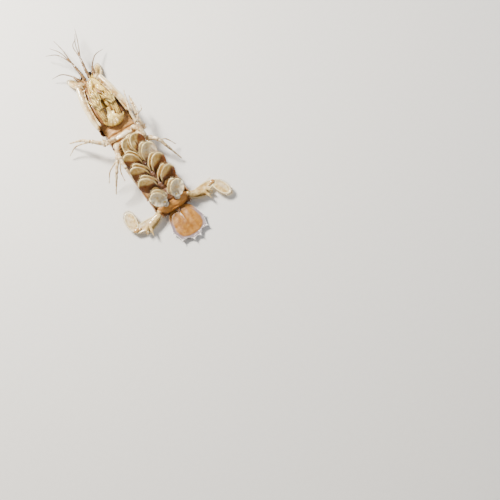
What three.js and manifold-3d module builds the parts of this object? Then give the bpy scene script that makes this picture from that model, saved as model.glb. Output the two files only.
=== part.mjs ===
// Mantis shrimp lying on its back, life size, as a still museum model.
// Millimetres, +Z up. The head points to -Y, the tail to +Y and the belly up, so the
// animal's right side is at +X. Stations run along the body from the front of the claws.
import * as THREE from 'three';
import { mergeVertices } from 'three/addons/utils/BufferGeometryUtils.js';
import Module from 'manifold-3d';

const wasm = await Module();
wasm.setup();

// Gap kept between pieces that touch, and the thinnest half thickness of a feeler
const GAP = 0.3;
const THIN = 0.27;
const SINK = 0.35;

// Stations along the body
const ROSTRUM_TIP = 2;
const CARAPACE_FRONT = 8.3;
const CARAPACE_REAR = 48;
const FIRST_THORAX = 48.3;
const THORAX_LENGTHS = [5.7, 6.1, 6, 5.9];
const FIRST_ABDOMEN = 72;
const ABDOMEN_LENGTHS = [9.7, 10.1, 10.3, 10.3, 10.2, 6.1];
const TELSON_LENGTH = 28.6;
const BOW = 1.3;
const BOW_LENGTH = 112;

// Trunk half widths, edge heights and belly rises
const CARAPACE_HALF_FRONT = 8.6;
const CARAPACE_HALF_REAR = 15.2;
const THORAX_HALVES = [12.4, 13.2, 13.7, 13.8];
const ABDOMEN_HALVES = [14.2, 14.5, 14.8, 15, 14.9, 13.8];
const THORAX_EDGE = 7;
const ABDOMEN_EDGE = 8;
const BELLY_RISE = 2.2;
const ROUND = 0.82;
const TILE_INSET = 0.07;

// Tail fan
const TELSON_HALF = 13;
const TELSON_NOTCH = 2.4;
const TELSON_NECK = 10.4;
const TELSON_THICK = 3.2;
// Marginal teeth from the middle outwards, each with the bay before it
const TELSON_TEETH = [
  { side: 2.9, reach: 28.5, bay: 1.6, steps: 1 },
  { side: 11.2, reach: 24.6, bay: 2.7, steps: 4 },
  { side: 14, reach: 15.4, bay: 1.3, steps: 4 },
];
const TELSON_SIDES = 36;
const TRUNK_SIDES = 20;
const PALM_LAP = 1.4;
const TELSON_SHOULDER = { height: 0.8, spread: 0.12 };
const BAY_HOLLOW = 0.7;
const UROPOD_ROOT = { x: 11.4, y: 125.4, z: 4.8 };
const EXOPOD = { long: 22.5, wide: 7, thick: 1.3, yaw: 0.02 };
// Outer half of the exopod, folded forward on the right side and spread on the left
const PADDLE = { long: 17.6, wide: 8.8, thick: 1.1, yaws: { right: -1.68, left: 1.2 },
  roots: { right: [23.7, 2.6], left: [22.4, 0.4] } };
const ENDOPOD_YAW = 0.42;
const ENDOPOD = { long: 17, wide: 5.4, thick: 1.1 };
const FORK = { stem: 13, tines: [9.5, 6.4], leans: [0.25, 0.8] };

// Head and limbs
const EYE_SIDE = 4.5;
const CORNEA = { wide: 3.7, deep: 2.2, tall: 2.3 };
const SCALE_LEAF = { long: 15, wide: 5.8, thick: 0.9 };
const CLAW = { front: 7.2, long: 39.4, tall: 3.9, thick: 3.05, height: 14.2 };
// How far out the big claw's hand lies at each of its stations
const CLAW_STATIONS = [0, 0.3, 0.7, 1];
const CLAW_SIDES = { right: [9.6, 12.2, 13.9, 13.8], left: [8.2, 11, 14, 15] };
const MERUS_THICK = 3.2;
const DACTYL_TEETH = 6;
const PLEOPOD_LEAF = { long: 16.5, wide: 10.6, thick: 1 };
const PLEOPOD_ROOT = { side: 3.6, share: 0.85 };
const PLEOPOD_LIFT = 0.5;
const PLEOPOD_SPLAYS = { right: [-0.1, 0.5, 0.68, 0.74, 0.86], left: [0.1, 0.5, 0.62, 0.8, 0.8] };
const PLEOPOD_ROLLS = { right: [-0.3, 0.45, 0.6, 0.6, 0.35], left: [0.2, 0.3, 0.5, 0.6, 0.35] };
const ENDOPOD_SHIFT = { in: 1.7, ahead: 2.8, up: 0.4, splay: 0.12 };

const COLOURS = {
  back: 0xa37b52,
  belly: 0xcfae82,
  ivory: 0xebe1cd,
  cream: 0xe3d5a0,
  merus: 0xb98f6c,
  leaf: 0xc0b184,
  telson: 0xc6934a,
  pale: 0xe0d3b4,
  cornea: 0x1c1a1d,
  feeler: 0xb98a4b,
};

const UP = new THREE.Vector3(0, 0, 1);
const RIGHT_SIDE = 1;
const LEFT_SIDE = -1;
const sideName = (side) => (side === RIGHT_SIDE ? 'right' : 'left');
const mix = THREE.MathUtils.lerp;
const bow = (y) => BOW * Math.sin((Math.PI * y) / BOW_LENGTH);
const at = (x, y, z) => new THREE.Vector3(x + bow(y), y, z);
const power = (value, exponent) => Math.sign(value) * Math.abs(value) ** exponent;

// A closed geometry as a solid that can be cut and joined
function solidOf(geometry) {
  geometry.deleteAttribute('normal');
  geometry.deleteAttribute('uv');
  const merged = mergeVertices(geometry, 1e-4);
  return new wasm.Manifold(new wasm.Mesh({
    numProp: 3,
    vertProperties: new Float32Array(merged.attributes.position.array),
    triVerts: new Uint32Array(merged.index.array),
  }));
}

// Moves every vertex of a geometry to the place that a function gives for it
function reshape(geometry, place) {
  const position = geometry.attributes.position;
  const from = new THREE.Vector3();
  for (let i = 0; i < position.count; i += 1) {
    from.fromBufferAttribute(position, i);
    const to = place(from);
    position.setXYZ(i, to.x, to.y, to.z);
  }
  return geometry;
}

// A closed tube with its section set by how far along it is and by the angle round it
function loft(sides, steps, place) {
  const tube = new THREE.CylinderGeometry(1, 1, 1, sides, steps);
  return solidOf(reshape(tube, (v) => place(v.y + 0.5, Math.atan2(v.x, v.z), Math.hypot(v.x, v.z))));
}

// A closed lens set by the angle round it, the reach from its middle and which face
function lens(sides, rings, place) {
  const ball = new THREE.SphereGeometry(1, sides, rings);
  return solidOf(reshape(ball, (v) => place(Math.atan2(-v.z, v.x), Math.hypot(v.x, v.z), v.y)));
}

// A value between neighbours in a short list, eased at each of them
function along(values, t) {
  const place = t * (values.length - 1);
  const first = Math.min(Math.floor(place), values.length - 2);
  return mix(values[first], values[first + 1], THREE.MathUtils.smoothstep(place - first, 0, 1));
}

// A limb that runs through a few joints, thicker at each of them
function limb(route, radii, grow, { sides = 5, steps = 9, flat = 1, knuckle = 0.18 } = {}) {
  const curve = new THREE.CatmullRomCurve3(route, false, 'centripetal');
  const last = route.length - 1;
  return loft(sides, steps, (t, angle, reach) => {
    const centre = curve.getPoint(t);
    const ahead = curve.getTangent(t);
    const across = new THREE.Vector3().crossVectors(ahead, UP).normalize();
    const over = new THREE.Vector3().crossVectors(across, ahead);
    const near = Math.abs(t * last - Math.round(t * last));
    const joint = t > 0.02 && t < 0.98 ? knuckle * Math.exp(-((near / 0.14) ** 2)) : 0;
    const radius = along(radii, t) * (1 + joint) + grow;
    const end = (t < 0.5 ? -1 : 1) * grow * (t === 0 || t === 1);
    return centre.addScaledVector(across, radius * reach * Math.sin(angle) * flat)
      .addScaledVector(over, radius * reach * Math.cos(angle))
      .addScaledVector(ahead, end);
  });
}

// A leaf of a tail fan, swimming leg or feeler, from its root along +Y, slightly hollowed
function leaf({ long, wide, thick }, grow, { sides = 11, rings = 3, hollow = 0.08, point = 0.15 } = {}) {
  return lens(sides, rings, (angle, reach, face) => {
    const ahead = Math.sin(angle) * reach;
    const half = (wide / 2) * (1 - point * ahead);
    const x = Math.cos(angle) * reach * (half + grow);
    const y = (long / 2) * (1 + ahead) + ahead * grow;
    const dish = hollow * wide * (reach * Math.cos(angle)) ** 2;
    return new THREE.Vector3(x, y, dish + face * (thick / 2 + grow));
  });
}

// A cone from a root towards a tip, for spines and teeth
function spine(root, tip, radius, grow, sides = 4) {
  return limb([root, root.clone().lerp(tip, 0.5), tip], [radius, radius * 0.65, THIN], grow,
    { sides, steps: 2, knuckle: 0 });
}

function join(...solids) {
  return solids.reduce((whole, next) => whole.add(next));
}

function placed(solid, position, turn) {
  const frame = new THREE.Matrix4().makeRotationFromEuler(turn).setPosition(position);
  return solid.transform(frame.toArray());
}

// One ring of the trunk: a low arch of a back below, a nearly level belly above
function trunkPoint(y, angle, reach, half, edge, rise, grow) {
  const side = power(Math.sin(angle), ROUND);
  const lift = Math.cos(angle);
  const x = side * (half + grow) * reach;
  const depth = lift < 0 ? edge + SINK : rise;
  const z = edge + reach * power(lift, ROUND) * (depth + grow);
  return at(x, y, Math.max(z, 0));
}

// A ring of the body armour, narrower in front where it slides under the one ahead
function bodyRing(front, rear, half, halfRear, edge, grow) {
  const shapes = [1 - TILE_INSET, 1, 1];
  const places = [0, 0.35, 1];
  return loft(TRUNK_SIDES, 2, (t, angle, reach) => {
    const step = Math.round(t * 2);
    const y = mix(front - grow, rear + grow, places[step]);
    const width = mix(half, halfRear, places[step]) * shapes[step];
    return trunkPoint(y, angle, reach, width, edge, BELLY_RISE, grow);
  });
}

function carapace(grow) {
  return loft(TRUNK_SIDES, 4, (t, angle, reach) => {
    const y = mix(CARAPACE_FRONT - grow, CARAPACE_REAR + grow, t);
    const half = mix(CARAPACE_HALF_FRONT, CARAPACE_HALF_REAR, Math.sin((t * Math.PI) / 2) ** 0.9);
    const edge = mix(5, 9, Math.min(1, t * 1.5));
    return trunkPoint(y, angle, reach, half, edge, mix(1.6, 0.6, t), grow);
  });
}

function rostralPlate(grow) {
  const plate = leaf({ long: 6, wide: 5.6, thick: 1.3 }, grow, { sides: 10, hollow: 0.1 });
  const turn = new THREE.Euler(0, 0, Math.PI);
  return placed(plate, at(0, CARAPACE_FRONT - GAP, 1.5), turn);
}

function headFront(grow) {
  const route = [at(0, 8, 5.2), at(0, 4.5, 5.2), at(0, 0.4, 5)];
  return limb(route, [2.7, 3, 2], grow, { sides: 8, steps: 3, flat: 1.7, knuckle: 0 });
}

function eyestalk(side, grow) {
  const route = [at(side * 2.1, 1.4, 4.2), at(side * 3, -0.8, 3.9), at(side * EYE_SIDE, -3, 3.8)];
  return limb(route, [1.2, 1.4, 1.9], grow, { sides: 6, steps: 3, knuckle: 0 });
}

// The cornea has two lobes side by side, as broad as it is across the stalk
function cornea(side, grow) {
  const ball = lens(9, 5, (angle, reach, face) => {
    const waist = 1 - 0.22 * Math.exp(-((Math.cos(angle) * reach) ** 2) * 9);
    return new THREE.Vector3(
      Math.cos(angle) * reach * (CORNEA.wide + grow),
      Math.sin(angle) * reach * (CORNEA.deep + grow) * waist,
      face * (CORNEA.tall + grow) * waist,
    );
  });
  return placed(ball, at(side * (EYE_SIDE + 0.6), -4.6, 3.8), new THREE.Euler(0, 0, side * 0.45));
}

// Three joints of stalk, then three fine whips
function antennule(side, grow) {
  const stalk = [at(side * 1.9, 0.2, 7.4), at(side * 2.4, -6, 8.6), at(side * 3.2, -12, 9.4),
    at(side * 3.9, -17.5, 10)];
  const end = stalk[3];
  const whips = [-1, 0, 1].map((lane) => {
    const middle = end.clone().add(new THREE.Vector3(side * 3 + lane * 2.6, -12, 1.2 - lane));
    const tip = end.clone().add(new THREE.Vector3(side * (8 + lane * 2) + lane * 4, -24 + lane * 3,
      -3.4 - lane * 1.5));
    return limb([end, middle, tip], [0.5, 0.4, THIN], grow, { sides: 4, steps: 3, knuckle: 0 });
  });
  return join(limb(stalk, [1.3, 1.15, 1, 0.8], grow, { steps: 6 }), ...whips);
}

function antenna(side, grow) {
  const route = [at(side * 5.6, 4, 8.6), at(side * 7, -1.5, 9.6), at(side * 8.6, -6.5, 9.4),
    at(side * 15.5, -15, 7.4), at(side * 24, -19, 3.2)];
  return limb(route, [1.6, 1.3, 0.8, 0.42, THIN], grow, { steps: 9 });
}

function antennalScale(side, grow) {
  const paddle = leaf(SCALE_LEAF, grow, { sides: 14, point: 0.05 });
  const turn = new THREE.Euler(0.12, side * 0.25, Math.PI + side * 0.42);
  return placed(paddle, at(side * 7.8, 2.6, 5.2), turn);
}

// Lips and jaws: a rounded block with a groove down the middle
function mouthparts(grow) {
  return lens(12, 5, (angle, reach, face) => {
    const across = Math.cos(angle) * reach;
    const ahead = Math.sin(angle) * reach;
    const ridge = 1 - 0.25 * Math.exp(-((across / 0.16) ** 2));
    const z = 9.4 + Math.max(face, -0.2) * (6.2 + grow) * ridge;
    return at(across * (5.6 + grow) * (1 + 0.15 * ahead), 29.5 + ahead * (10.5 + grow), z);
  });
}

// The thin cleaning limb beside the jaws
function cleaningLimb(side, grow) {
  const route = [at(side * 6.2, 40, 11.4), at(side * 6.2, 30, 15.4), at(side * 5.2, 19, 15.6),
    at(side * 3.4, 11, 13.4)];
  return limb(route, [1, 0.85, 0.7, 0.4], grow, { steps: 6 });
}

// A small broad limb that reaches forward over the jaws and ends in an oval hand, folded back or not
function handLimb(side, { root, elbow, wrist, turn, wide }, grow) {
  const start = at(...root);
  const bend = at(...elbow);
  const hand = at(...wrist);
  const middle = start.clone().lerp(bend, 0.5).add(new THREE.Vector3(side * 0.4, 0, 1.2));
  const arm = limb([start, middle, bend, hand], [1.5, 1.35, 1.15, 0.85], grow, { steps: 5, flat: 1.35 });
  const palm = leaf({ long: 9, wide, thick: 2 }, grow, { sides: 8, rings: 3, hollow: 0, point: 0.1 });
  const lap = new THREE.Vector3(Math.sin(turn), -Math.cos(turn), 0).multiplyScalar(PALM_LAP);
  const place = hand.clone().add(lap).add(new THREE.Vector3(0, 0, 0.2));
  return join(arm, placed(palm, place, new THREE.Euler(-0.1, 0, turn)));
}

const HAND_LIMBS = {
  right: [
    {
      number: 3,
      root: [3, 39, 13.4],
      elbow: [2.6, 25, 17],
      wrist: [2.4, 15.8, 17.4],
      turn: 2.67,
      wide: 3.4,
    },
    {
      number: 4,
      root: [4.2, 42.4, 12.8],
      elbow: [5.2, 29, 18.4],
      wrist: [3.6, 21.6, 19.2],
      turn: 0.2,
      wide: 4.8,
    },
    {
      number: 5,
      root: [4.8, 46, 10.4],
      elbow: [6.6, 35, 17.2],
      wrist: [5.6, 27.6, 18.8],
      turn: 0.15,
      wide: 5.2,
    },
  ],
  left: [
    {
      number: 3,
      root: [-3, 39, 13.4],
      elbow: [-5.2, 20, 17],
      wrist: [-2.2, 9.2, 17.2],
      turn: 0.475,
      wide: 3.8,
    },
    {
      number: 4,
      root: [-4.2, 42.4, 12.8],
      elbow: [-6.9, 27, 18],
      wrist: [-2.8, 17.3, 19.4],
      turn: 0.5,
      wide: 4.2,
    },
    {
      number: 5,
      root: [-4.8, 46, 10.4],
      elbow: [-7.2, 36, 16.8],
      wrist: [-6, 27.4, 19.2],
      turn: 0.1,
      wide: 5.4,
    },
  ],
};

// The stout inner joint of the big claw, along the side of the jaws
function clawMerus(side, grow) {
  const route = [at(side * 9, 44, 11.6), at(side * 8.4, 31, 12.6), at(side * 6.4, 16, 12.2),
    at(side * 5.6, 10.6, 11.4)];
  return limb(route, [2, MERUS_THICK, MERUS_THICK, 2.2], grow,
    { sides: 8, steps: 6, flat: 0.78, knuckle: 0 });
}

// Wrist and long hand of the big claw, folded back along the outside
function clawHand(side, grow) {
  const sides = CLAW_SIDES[sideName(side)];
  const route = CLAW_STATIONS.map((t, i) => at(
    side * sides[i],
    CLAW.front + CLAW.long * t,
    CLAW.height - 1.2 * t,
  ));
  const flat = CLAW.thick / CLAW.tall;
  const hand = limb(route, [2.9, CLAW.tall, CLAW.tall * 0.82, 1.8], grow,
    { sides: 8, steps: 6, flat, knuckle: 0 });
  const wrist = [at(side * 5.6, 9.2, 12.4), at(side * mix(5.6, sides[0], 0.45), 6.8, 13),
    at(side * sides[0], 8.4, 14)];
  return join(hand, limb(wrist, [1.8, 2.3, 2.2], grow, { sides: 6, steps: 3, knuckle: 0 }));
}

// The raking finger with its teeth, closed against the hand
function clawFinger(side, grow) {
  const sides = CLAW_SIDES[sideName(side)];
  const route = [3, 2, 1, 0].map((i) => {
    const t = Math.max(0.08, CLAW_STATIONS[i]);
    const y = CLAW.front + 1.2 + (CLAW.long - 2.4) * t;
    return at(side * (sides[i] - 3 + 0.5 * t), y, CLAW.height + 2.7 - 2.1 * t);
  });
  const curve = new THREE.CatmullRomCurve3(route, false, 'centripetal');
  const blade = limb(route, [1.2, 1.05, 0.8, 0.4], grow, { steps: 5, flat: 0.75, knuckle: 0 });
  const teeth = Array.from({ length: DACTYL_TEETH }, (_, i) => {
    const root = curve.getPoint(0.28 + (0.68 * i) / (DACTYL_TEETH - 1));
    const tip = root.clone().add(new THREE.Vector3(side * 0.3, -2.4, 2.2));
    return spine(root, tip, 0.6, grow, 3);
  });
  return join(blade, ...teeth);
}

const LEG_RADII = [1.9, 1.75, 1.3, 1, 0.42];

// Walking legs: each has a route of joints and a slender side branch from its third joint
const LEG_ROUTES = {
  right: [
    {
      main: [[9.4, 57, 9], [15.6, 58.4, 13.6], [24, 52, 15.4], [29.4, 45.4, 12], [38.6, 37.6, 4]],
      branch: [36, 45, 8, 43.6, 46.2, 3],
    },
    {
      main: [[9.8, 63, 9], [9.8, 66.8, 15.6], [15.6, 78, 19.4], [22, 86.5, 18], [31, 96, 9]],
      branch: [24.6, 80, 14, 30.4, 85, 8],
    },
    {
      main: [[10.6, 68.8, 9], [12.2, 71, 16], [13.4, 80, 20.4], [14, 88.4, 20.6], [14.6, 99, 17]],
      branch: [18, 86, 19, 20, 93.5, 15],
    },
  ],
  left: [
    {
      main: [[9, 57, 9], [14.4, 62.6, 13], [15.8, 54, 17.6], [17.8, 46, 19.6], [19.4, 37.4, 18]],
      branch: [21.6, 50.4, 14, 23.6, 44, 9],
    },
    {
      main: [[9.2, 63, 9], [12, 70.6, 15.4], [12.4, 61, 20], [13, 51.6, 22.6], [18, 33.6, 22.4]],
      branch: [17.4, 55, 21.6, 19.4, 42, 21.6],
    },
    {
      main: [[9.2, 68.6, 9], [14.6, 73.4, 13], [19, 79.6, 15], [21.4, 86, 12], [26, 97, 3]],
      branch: [24.4, 80, 10, 29, 85, 4],
    },
  ],
};

function walkingLeg(side, { main, branch }, grow) {
  const route = main.map(([x, y, z]) => at(side * x, y, z));
  const leg = limb(route, LEG_RADII, grow, { steps: 7, knuckle: 0.3 });
  const root = route[2];
  const middle = at(side * branch[0], branch[1], branch[2]);
  const tip = at(side * branch[3], branch[4], branch[5]);
  return join(leg, limb([root, middle, tip], [0.6, 0.5, THIN], grow,
    { sides: 4, steps: 4, knuckle: 0.1 }));
}

// A swimming leg: a short root and two leaves swung forward and outward
function pleopod(side, number, station, grow) {
  const shrink = [1, 1, 0.98, 0.95, 0.86][number - 1];
  const outer = { ...PLEOPOD_LEAF, long: PLEOPOD_LEAF.long * shrink, wide: PLEOPOD_LEAF.wide * shrink };
  const inner = { ...outer, long: outer.long * 0.86, wide: outer.wide * 0.7 };
  const root = at(side * PLEOPOD_ROOT.side, station, ABDOMEN_EDGE + BELLY_RISE + 0.5);
  const splay = PLEOPOD_SPLAYS[sideName(side)][number - 1];
  const roll = -side * PLEOPOD_ROLLS[sideName(side)][number - 1];
  const turned = (swing) => new THREE.Euler(PLEOPOD_LIFT, roll, side * swing - Math.PI, 'ZXY');
  const outerTurn = turned(splay);
  const innerRoot = root.clone().add(
    new THREE.Vector3(-side * ENDOPOD_SHIFT.in, -ENDOPOD_SHIFT.ahead, ENDOPOD_SHIFT.up));
  const base = leaf({ long: 5, wide: 4.4, thick: 2.6 }, grow, { sides: 6, rings: 3, hollow: 0 });
  const back = new THREE.Vector3(0, 1.6, -0.2);
  const innerTurn = turned(splay - ENDOPOD_SHIFT.splay);
  const held = innerRoot.clone().add(new THREE.Vector3(0, 2.4, 0).applyEuler(innerTurn));
  const middle = root.clone().lerp(held, 0.5);
  return join(
    placed(base, root.clone().add(back), outerTurn),
    placed(leaf(outer, grow, { sides: 9 }), root, outerTurn),
    placed(leaf(inner, grow, { sides: 7 }), innerRoot, innerTurn),
    limb([root, middle, held], [1.3, 1.1, 0.8], grow, { sides: 4, steps: 1, knuckle: 0 }),
  );
}

// Turns of the three teeth away from the rear, and of the stretches between them, in even steps
const TOOTH_TURNS = TELSON_TEETH.map(({ side, reach }) => Math.atan2(side, reach - TELSON_LENGTH / 2));
const RIM_TURNS = [0, ...TOOTH_TURNS, Math.PI];
const RIM_STEPS = TELSON_TEETH.reduce((stops, { steps }) => [...stops, stops.at(-1) + steps], [0]);
RIM_STEPS.push(TELSON_SIDES / 2);

// Spreads even steps round the tail plate so that each tooth's tip falls on one
function rimTurn(angle) {
  const wrapped = Math.atan2(Math.cos(angle), Math.sin(angle));
  const place = (Math.abs(wrapped) / Math.PI) * (TELSON_SIDES / 2);
  const next = Math.max(1, RIM_STEPS.findIndex((stop) => place <= stop + 1e-6));
  const share = (place - RIM_STEPS[next - 1]) / (RIM_STEPS[next] - RIM_STEPS[next - 1]);
  return Math.sign(wrapped) * mix(RIM_TURNS[next - 1], RIM_TURNS[next], share);
}

// Smooth inner outline of the tail plate
function shieldReach(turn) {
  const across = Math.abs(Math.sin(turn));
  const ahead = Math.cos(turn);
  const long = TELSON_LENGTH / 2 - (ahead > 0 ? TELSON_NOTCH : 0);
  const square = ahead > 0 ? 2.5 : 3.4;
  const half = ahead > 0 ? TELSON_HALF : mix(TELSON_HALF, TELSON_NECK, -ahead);
  return ((across / half) ** square + Math.abs(ahead / long) ** square) ** (-1 / square);
}

// Toothed outline of the tail plate: three pairs of points with hollow bays between them
function toothedReach(turn) {
  const next = TOOTH_TURNS.findIndex((tooth) => Math.abs(turn) <= tooth + 1e-6);
  if (next < 0) {
    const off = (Math.abs(turn) - TOOTH_TURNS[2]) / TELSON_SHOULDER.spread;
    return shieldReach(turn) + TELSON_SHOULDER.height * Math.exp(-(off ** 2));
  }
  const points = TELSON_TEETH.map(({ side, reach }) => Math.hypot(side, reach - TELSON_LENGTH / 2));
  const first = next ? TOOTH_TURNS[next - 1] : -TOOTH_TURNS[0];
  const share = (Math.abs(turn) - first) / (TOOTH_TURNS[next] - first);
  const chord = mix(points[Math.max(0, next - 1)], points[next], share);
  const deep = Math.sin(Math.PI * Math.min(1, Math.max(0, share))) ** BAY_HOLLOW;
  return chord - TELSON_TEETH[next].bay * deep;
}

function telson(grow) {
  const front = FIRST_ABDOMEN + ABDOMEN_LENGTHS.reduce((a, b) => a + b);
  return lens(TELSON_SIDES, 5, (angle, reach, face) => {
    const turn = rimTurn(angle);
    const shield = shieldReach(turn);
    const edge = Math.max(0, (reach - 0.85) / 0.15);
    const distance = (shield + grow) * reach + (toothedReach(turn) - shield) * edge;
    const x = Math.sin(turn) * distance;
    const y = front + TELSON_LENGTH / 2 + Math.cos(turn) * distance;
    const keel = 1.1 * Math.exp(-((x / 2.4) ** 2)) * (1 - reach ** 4);
    const half = (TELSON_THICK / 2) * (1 - 0.55 * reach) + grow;
    const z = 2.3 + 0.9 * reach ** 2 + face * half - (face < 0 ? keel : 0);
    return at(x, y, Math.max(z, 0));
  });
}

// Uropod: a short root, a broad fork over the paddles, and the two paddles spread sideways
function uropod(side, grow) {
  const root = at(side * UROPOD_ROOT.x, UROPOD_ROOT.y, UROPOD_ROOT.z);
  const turned = (yaw) => new THREE.Euler(0, 0, side * (yaw - Math.PI / 2));
  const out = (x, y, z) => root.clone().add(new THREE.Vector3(side * x, y, z));
  const knuckle = limb([out(-0.6, -1.6, -0.6), out(2, -0.4, 0), out(5, 0.6, 0.2)], [2, 2.3, 1.8],
    grow, { sides: 6, steps: 2, knuckle: 0 });
  const crotch = out(FORK.stem, 4.6, 1);
  const stem = limb([out(1.5, 0.8, 0.8), out(7, 2.4, 1.2), crotch], [1.1, 1.2, 1], grow,
    { sides: 6, steps: 2, flat: 2.1, knuckle: 0 });
  const tines = FORK.tines.map((long, i) => {
    const heading = new THREE.Vector3(side * Math.sin(FORK.leans[i]), Math.cos(FORK.leans[i]), -0.05);
    const start = crotch.clone().add(new THREE.Vector3(side * (i ? 0.8 : -0.9), -0.4, 0));
    return spine(start, start.clone().addScaledVector(heading, long), 1.2, grow);
  });
  const exo = placed(leaf(EXOPOD, grow, { point: -0.12 }), out(2.5, 1.5, -1), turned(EXOPOD.yaw));
  const paddle = placed(leaf(PADDLE, grow, { point: -0.05 }), out(...PADDLE.roots[sideName(side)], -0.8),
    turned(PADDLE.yaws[sideName(side)]));
  const endo = placed(leaf(ENDOPOD, grow, { sides: 10 }), out(1.6, 0.8, -1.6),
    turned(ENDOPOD_YAW));
  return join(knuckle, stem, ...tines, exo, paddle, endo);
}

// All pieces, the ones that keep their full shape first
const pieces = [];
function addPiece(name, colour, roughness, anchor, make) {
  pieces.push({ name, colour, roughness, anchor, make });
}

function addTrunk() {
  addPiece('carapace', COLOURS.back, 0.38, at(0, CARAPACE_REAR, 0), carapace);
  let front = FIRST_THORAX;
  THORAX_LENGTHS.forEach((length, i) => {
    const [y0, y1] = [front, front + length - GAP];
    const half = THORAX_HALVES[i];
    addPiece(`thoracic_somite_${i + 5}`, COLOURS.belly, 0.42, at(0, y0, 0),
      (grow) => bodyRing(y0, y1, half, half, THORAX_EDGE, grow));
    front += length;
  });
  front = FIRST_ABDOMEN;
  ABDOMEN_LENGTHS.forEach((length, i) => {
    const [y0, y1] = [front, front + length - GAP];
    const half = ABDOMEN_HALVES[i];
    const rear = i === 5 ? half - 1.6 : ABDOMEN_HALVES[i];
    const edge = ABDOMEN_EDGE - (i === 5 ? 1.6 : 0);
    addPiece(`abdominal_somite_${i + 1}`, COLOURS.back, 0.4, at(0, y0, 0),
      (grow) => bodyRing(y0, y1, half, rear, edge, grow));
    front += length;
  });
  addPiece('telson', COLOURS.telson, 0.3, at(0, front, 0), telson);
}

function addHead() {
  addPiece('rostral_plate', COLOURS.back, 0.38, at(0, ROSTRUM_TIP, 1), rostralPlate);
  addPiece('head_front', COLOURS.belly, 0.42, at(0, 6, 5), headFront);
  addPiece('mouthparts', COLOURS.cream, 0.4, at(0, 30, 9), mouthparts);
}

function addSide(side) {
  const name = sideName(side);
  const put = (part, colour, roughness, y, make) => addPiece(`${part}_${name}`, colour, roughness,
    at(side * 8, y, 8), (grow) => make(side, grow));
  put('eyestalk', COLOURS.belly, 0.4, 0, eyestalk);
  put('cornea', COLOURS.cornea, 0.12, -4, cornea);
  put('claw_merus', COLOURS.merus, 0.35, 40, clawMerus);
  put('claw_hand', COLOURS.ivory, 0.3, 4, clawHand);
  put('claw_finger', COLOURS.cream, 0.3, 40, clawFinger);
  put('antennal_scale', COLOURS.pale, 0.35, 2, antennalScale);
  put('antenna', COLOURS.feeler, 0.45, 4, antenna);
  put('antennule', COLOURS.feeler, 0.45, 0, antennule);
  HAND_LIMBS[name].forEach((plan) => {
    put(`maxilliped_${plan.number}`, COLOURS.cream, 0.38, 40, (s, grow) => handLimb(s, plan, grow));
  });
  put('maxilliped_1', COLOURS.cream, 0.38, 40, cleaningLimb);
  put('uropod', COLOURS.pale, 0.32, UROPOD_ROOT.y, uropod);
  let front = FIRST_ABDOMEN;
  ABDOMEN_LENGTHS.slice(0, 5).forEach((length, i) => {
    const station = front + length * PLEOPOD_ROOT.share;
    put(`pleopod_${i + 1}`, COLOURS.leaf, 0.34, station, (s, grow) => pleopod(s, i + 1, station, grow));
    front += length;
  });
  LEG_ROUTES[name].forEach((plan, i) => {
    put(`walking_leg_${i + 1}`, COLOURS.ivory, 0.36, 62, (s, grow) => walkingLeg(s, plan, grow));
  });
}

function boxesMeet(a, b) {
  return [0, 1, 2].every((axis) => a.min[axis] < b.max[axis] && b.min[axis] < a.max[axis]);
}

function largestBody(solid) {
  return solid.decompose().reduce((best, body) => (body.volume() > best.volume() ? body : best));
}

// Each piece gives way to the ones before it, with the gap all round them
function fitted() {
  const done = [];
  for (const piece of pieces) {
    let solid = piece.make(0);
    const box = solid.boundingBox();
    for (const other of done) {
      if (boxesMeet(box, other.box)) {
        solid = solid.subtract(other.grown);
      }
    }
    const grown = piece.make(GAP);
    done.push({ ...piece, solid: largestBody(solid), grown, box: grown.boundingBox() });
  }
  return done;
}

function meshOf({ name, colour, roughness, anchor, solid }) {
  const { vertProperties, triVerts } = solid.getMesh();
  const geometry = new THREE.BufferGeometry();
  geometry.setAttribute('position', new THREE.BufferAttribute(new Float32Array(vertProperties), 3));
  geometry.setIndex(new THREE.BufferAttribute(new Uint32Array(triVerts), 1));
  geometry.translate(-anchor.x, -anchor.y, -anchor.z);
  geometry.computeVertexNormals();
  const material = new THREE.MeshStandardMaterial({ color: colour, roughness, metalness: 0 });
  const mesh = new THREE.Mesh(geometry, material);
  mesh.name = name;
  mesh.position.copy(anchor);
  return mesh;
}

addTrunk();
addHead();
addSide(RIGHT_SIDE);
addSide(LEFT_SIDE);

const body = new THREE.Group();
fitted().forEach((piece) => body.add(meshOf(piece)));
const middle = new THREE.Box3().setFromObject(body).getCenter(new THREE.Vector3());
body.position.set(-middle.x, -middle.y, 0);

const mantisShrimp = new THREE.Group();
mantisShrimp.name = 'mantis_shrimp';
mantisShrimp.add(body);

export default mantisShrimp;
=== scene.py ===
import logging
import math
from collections.abc import Callable, Sequence
from dataclasses import dataclass, field
from enum import Enum
from functools import cache
from typing import Any, ClassVar

import bmesh
import bpy
import numpy as np
from mathutils import Matrix, Vector, noise


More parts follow.
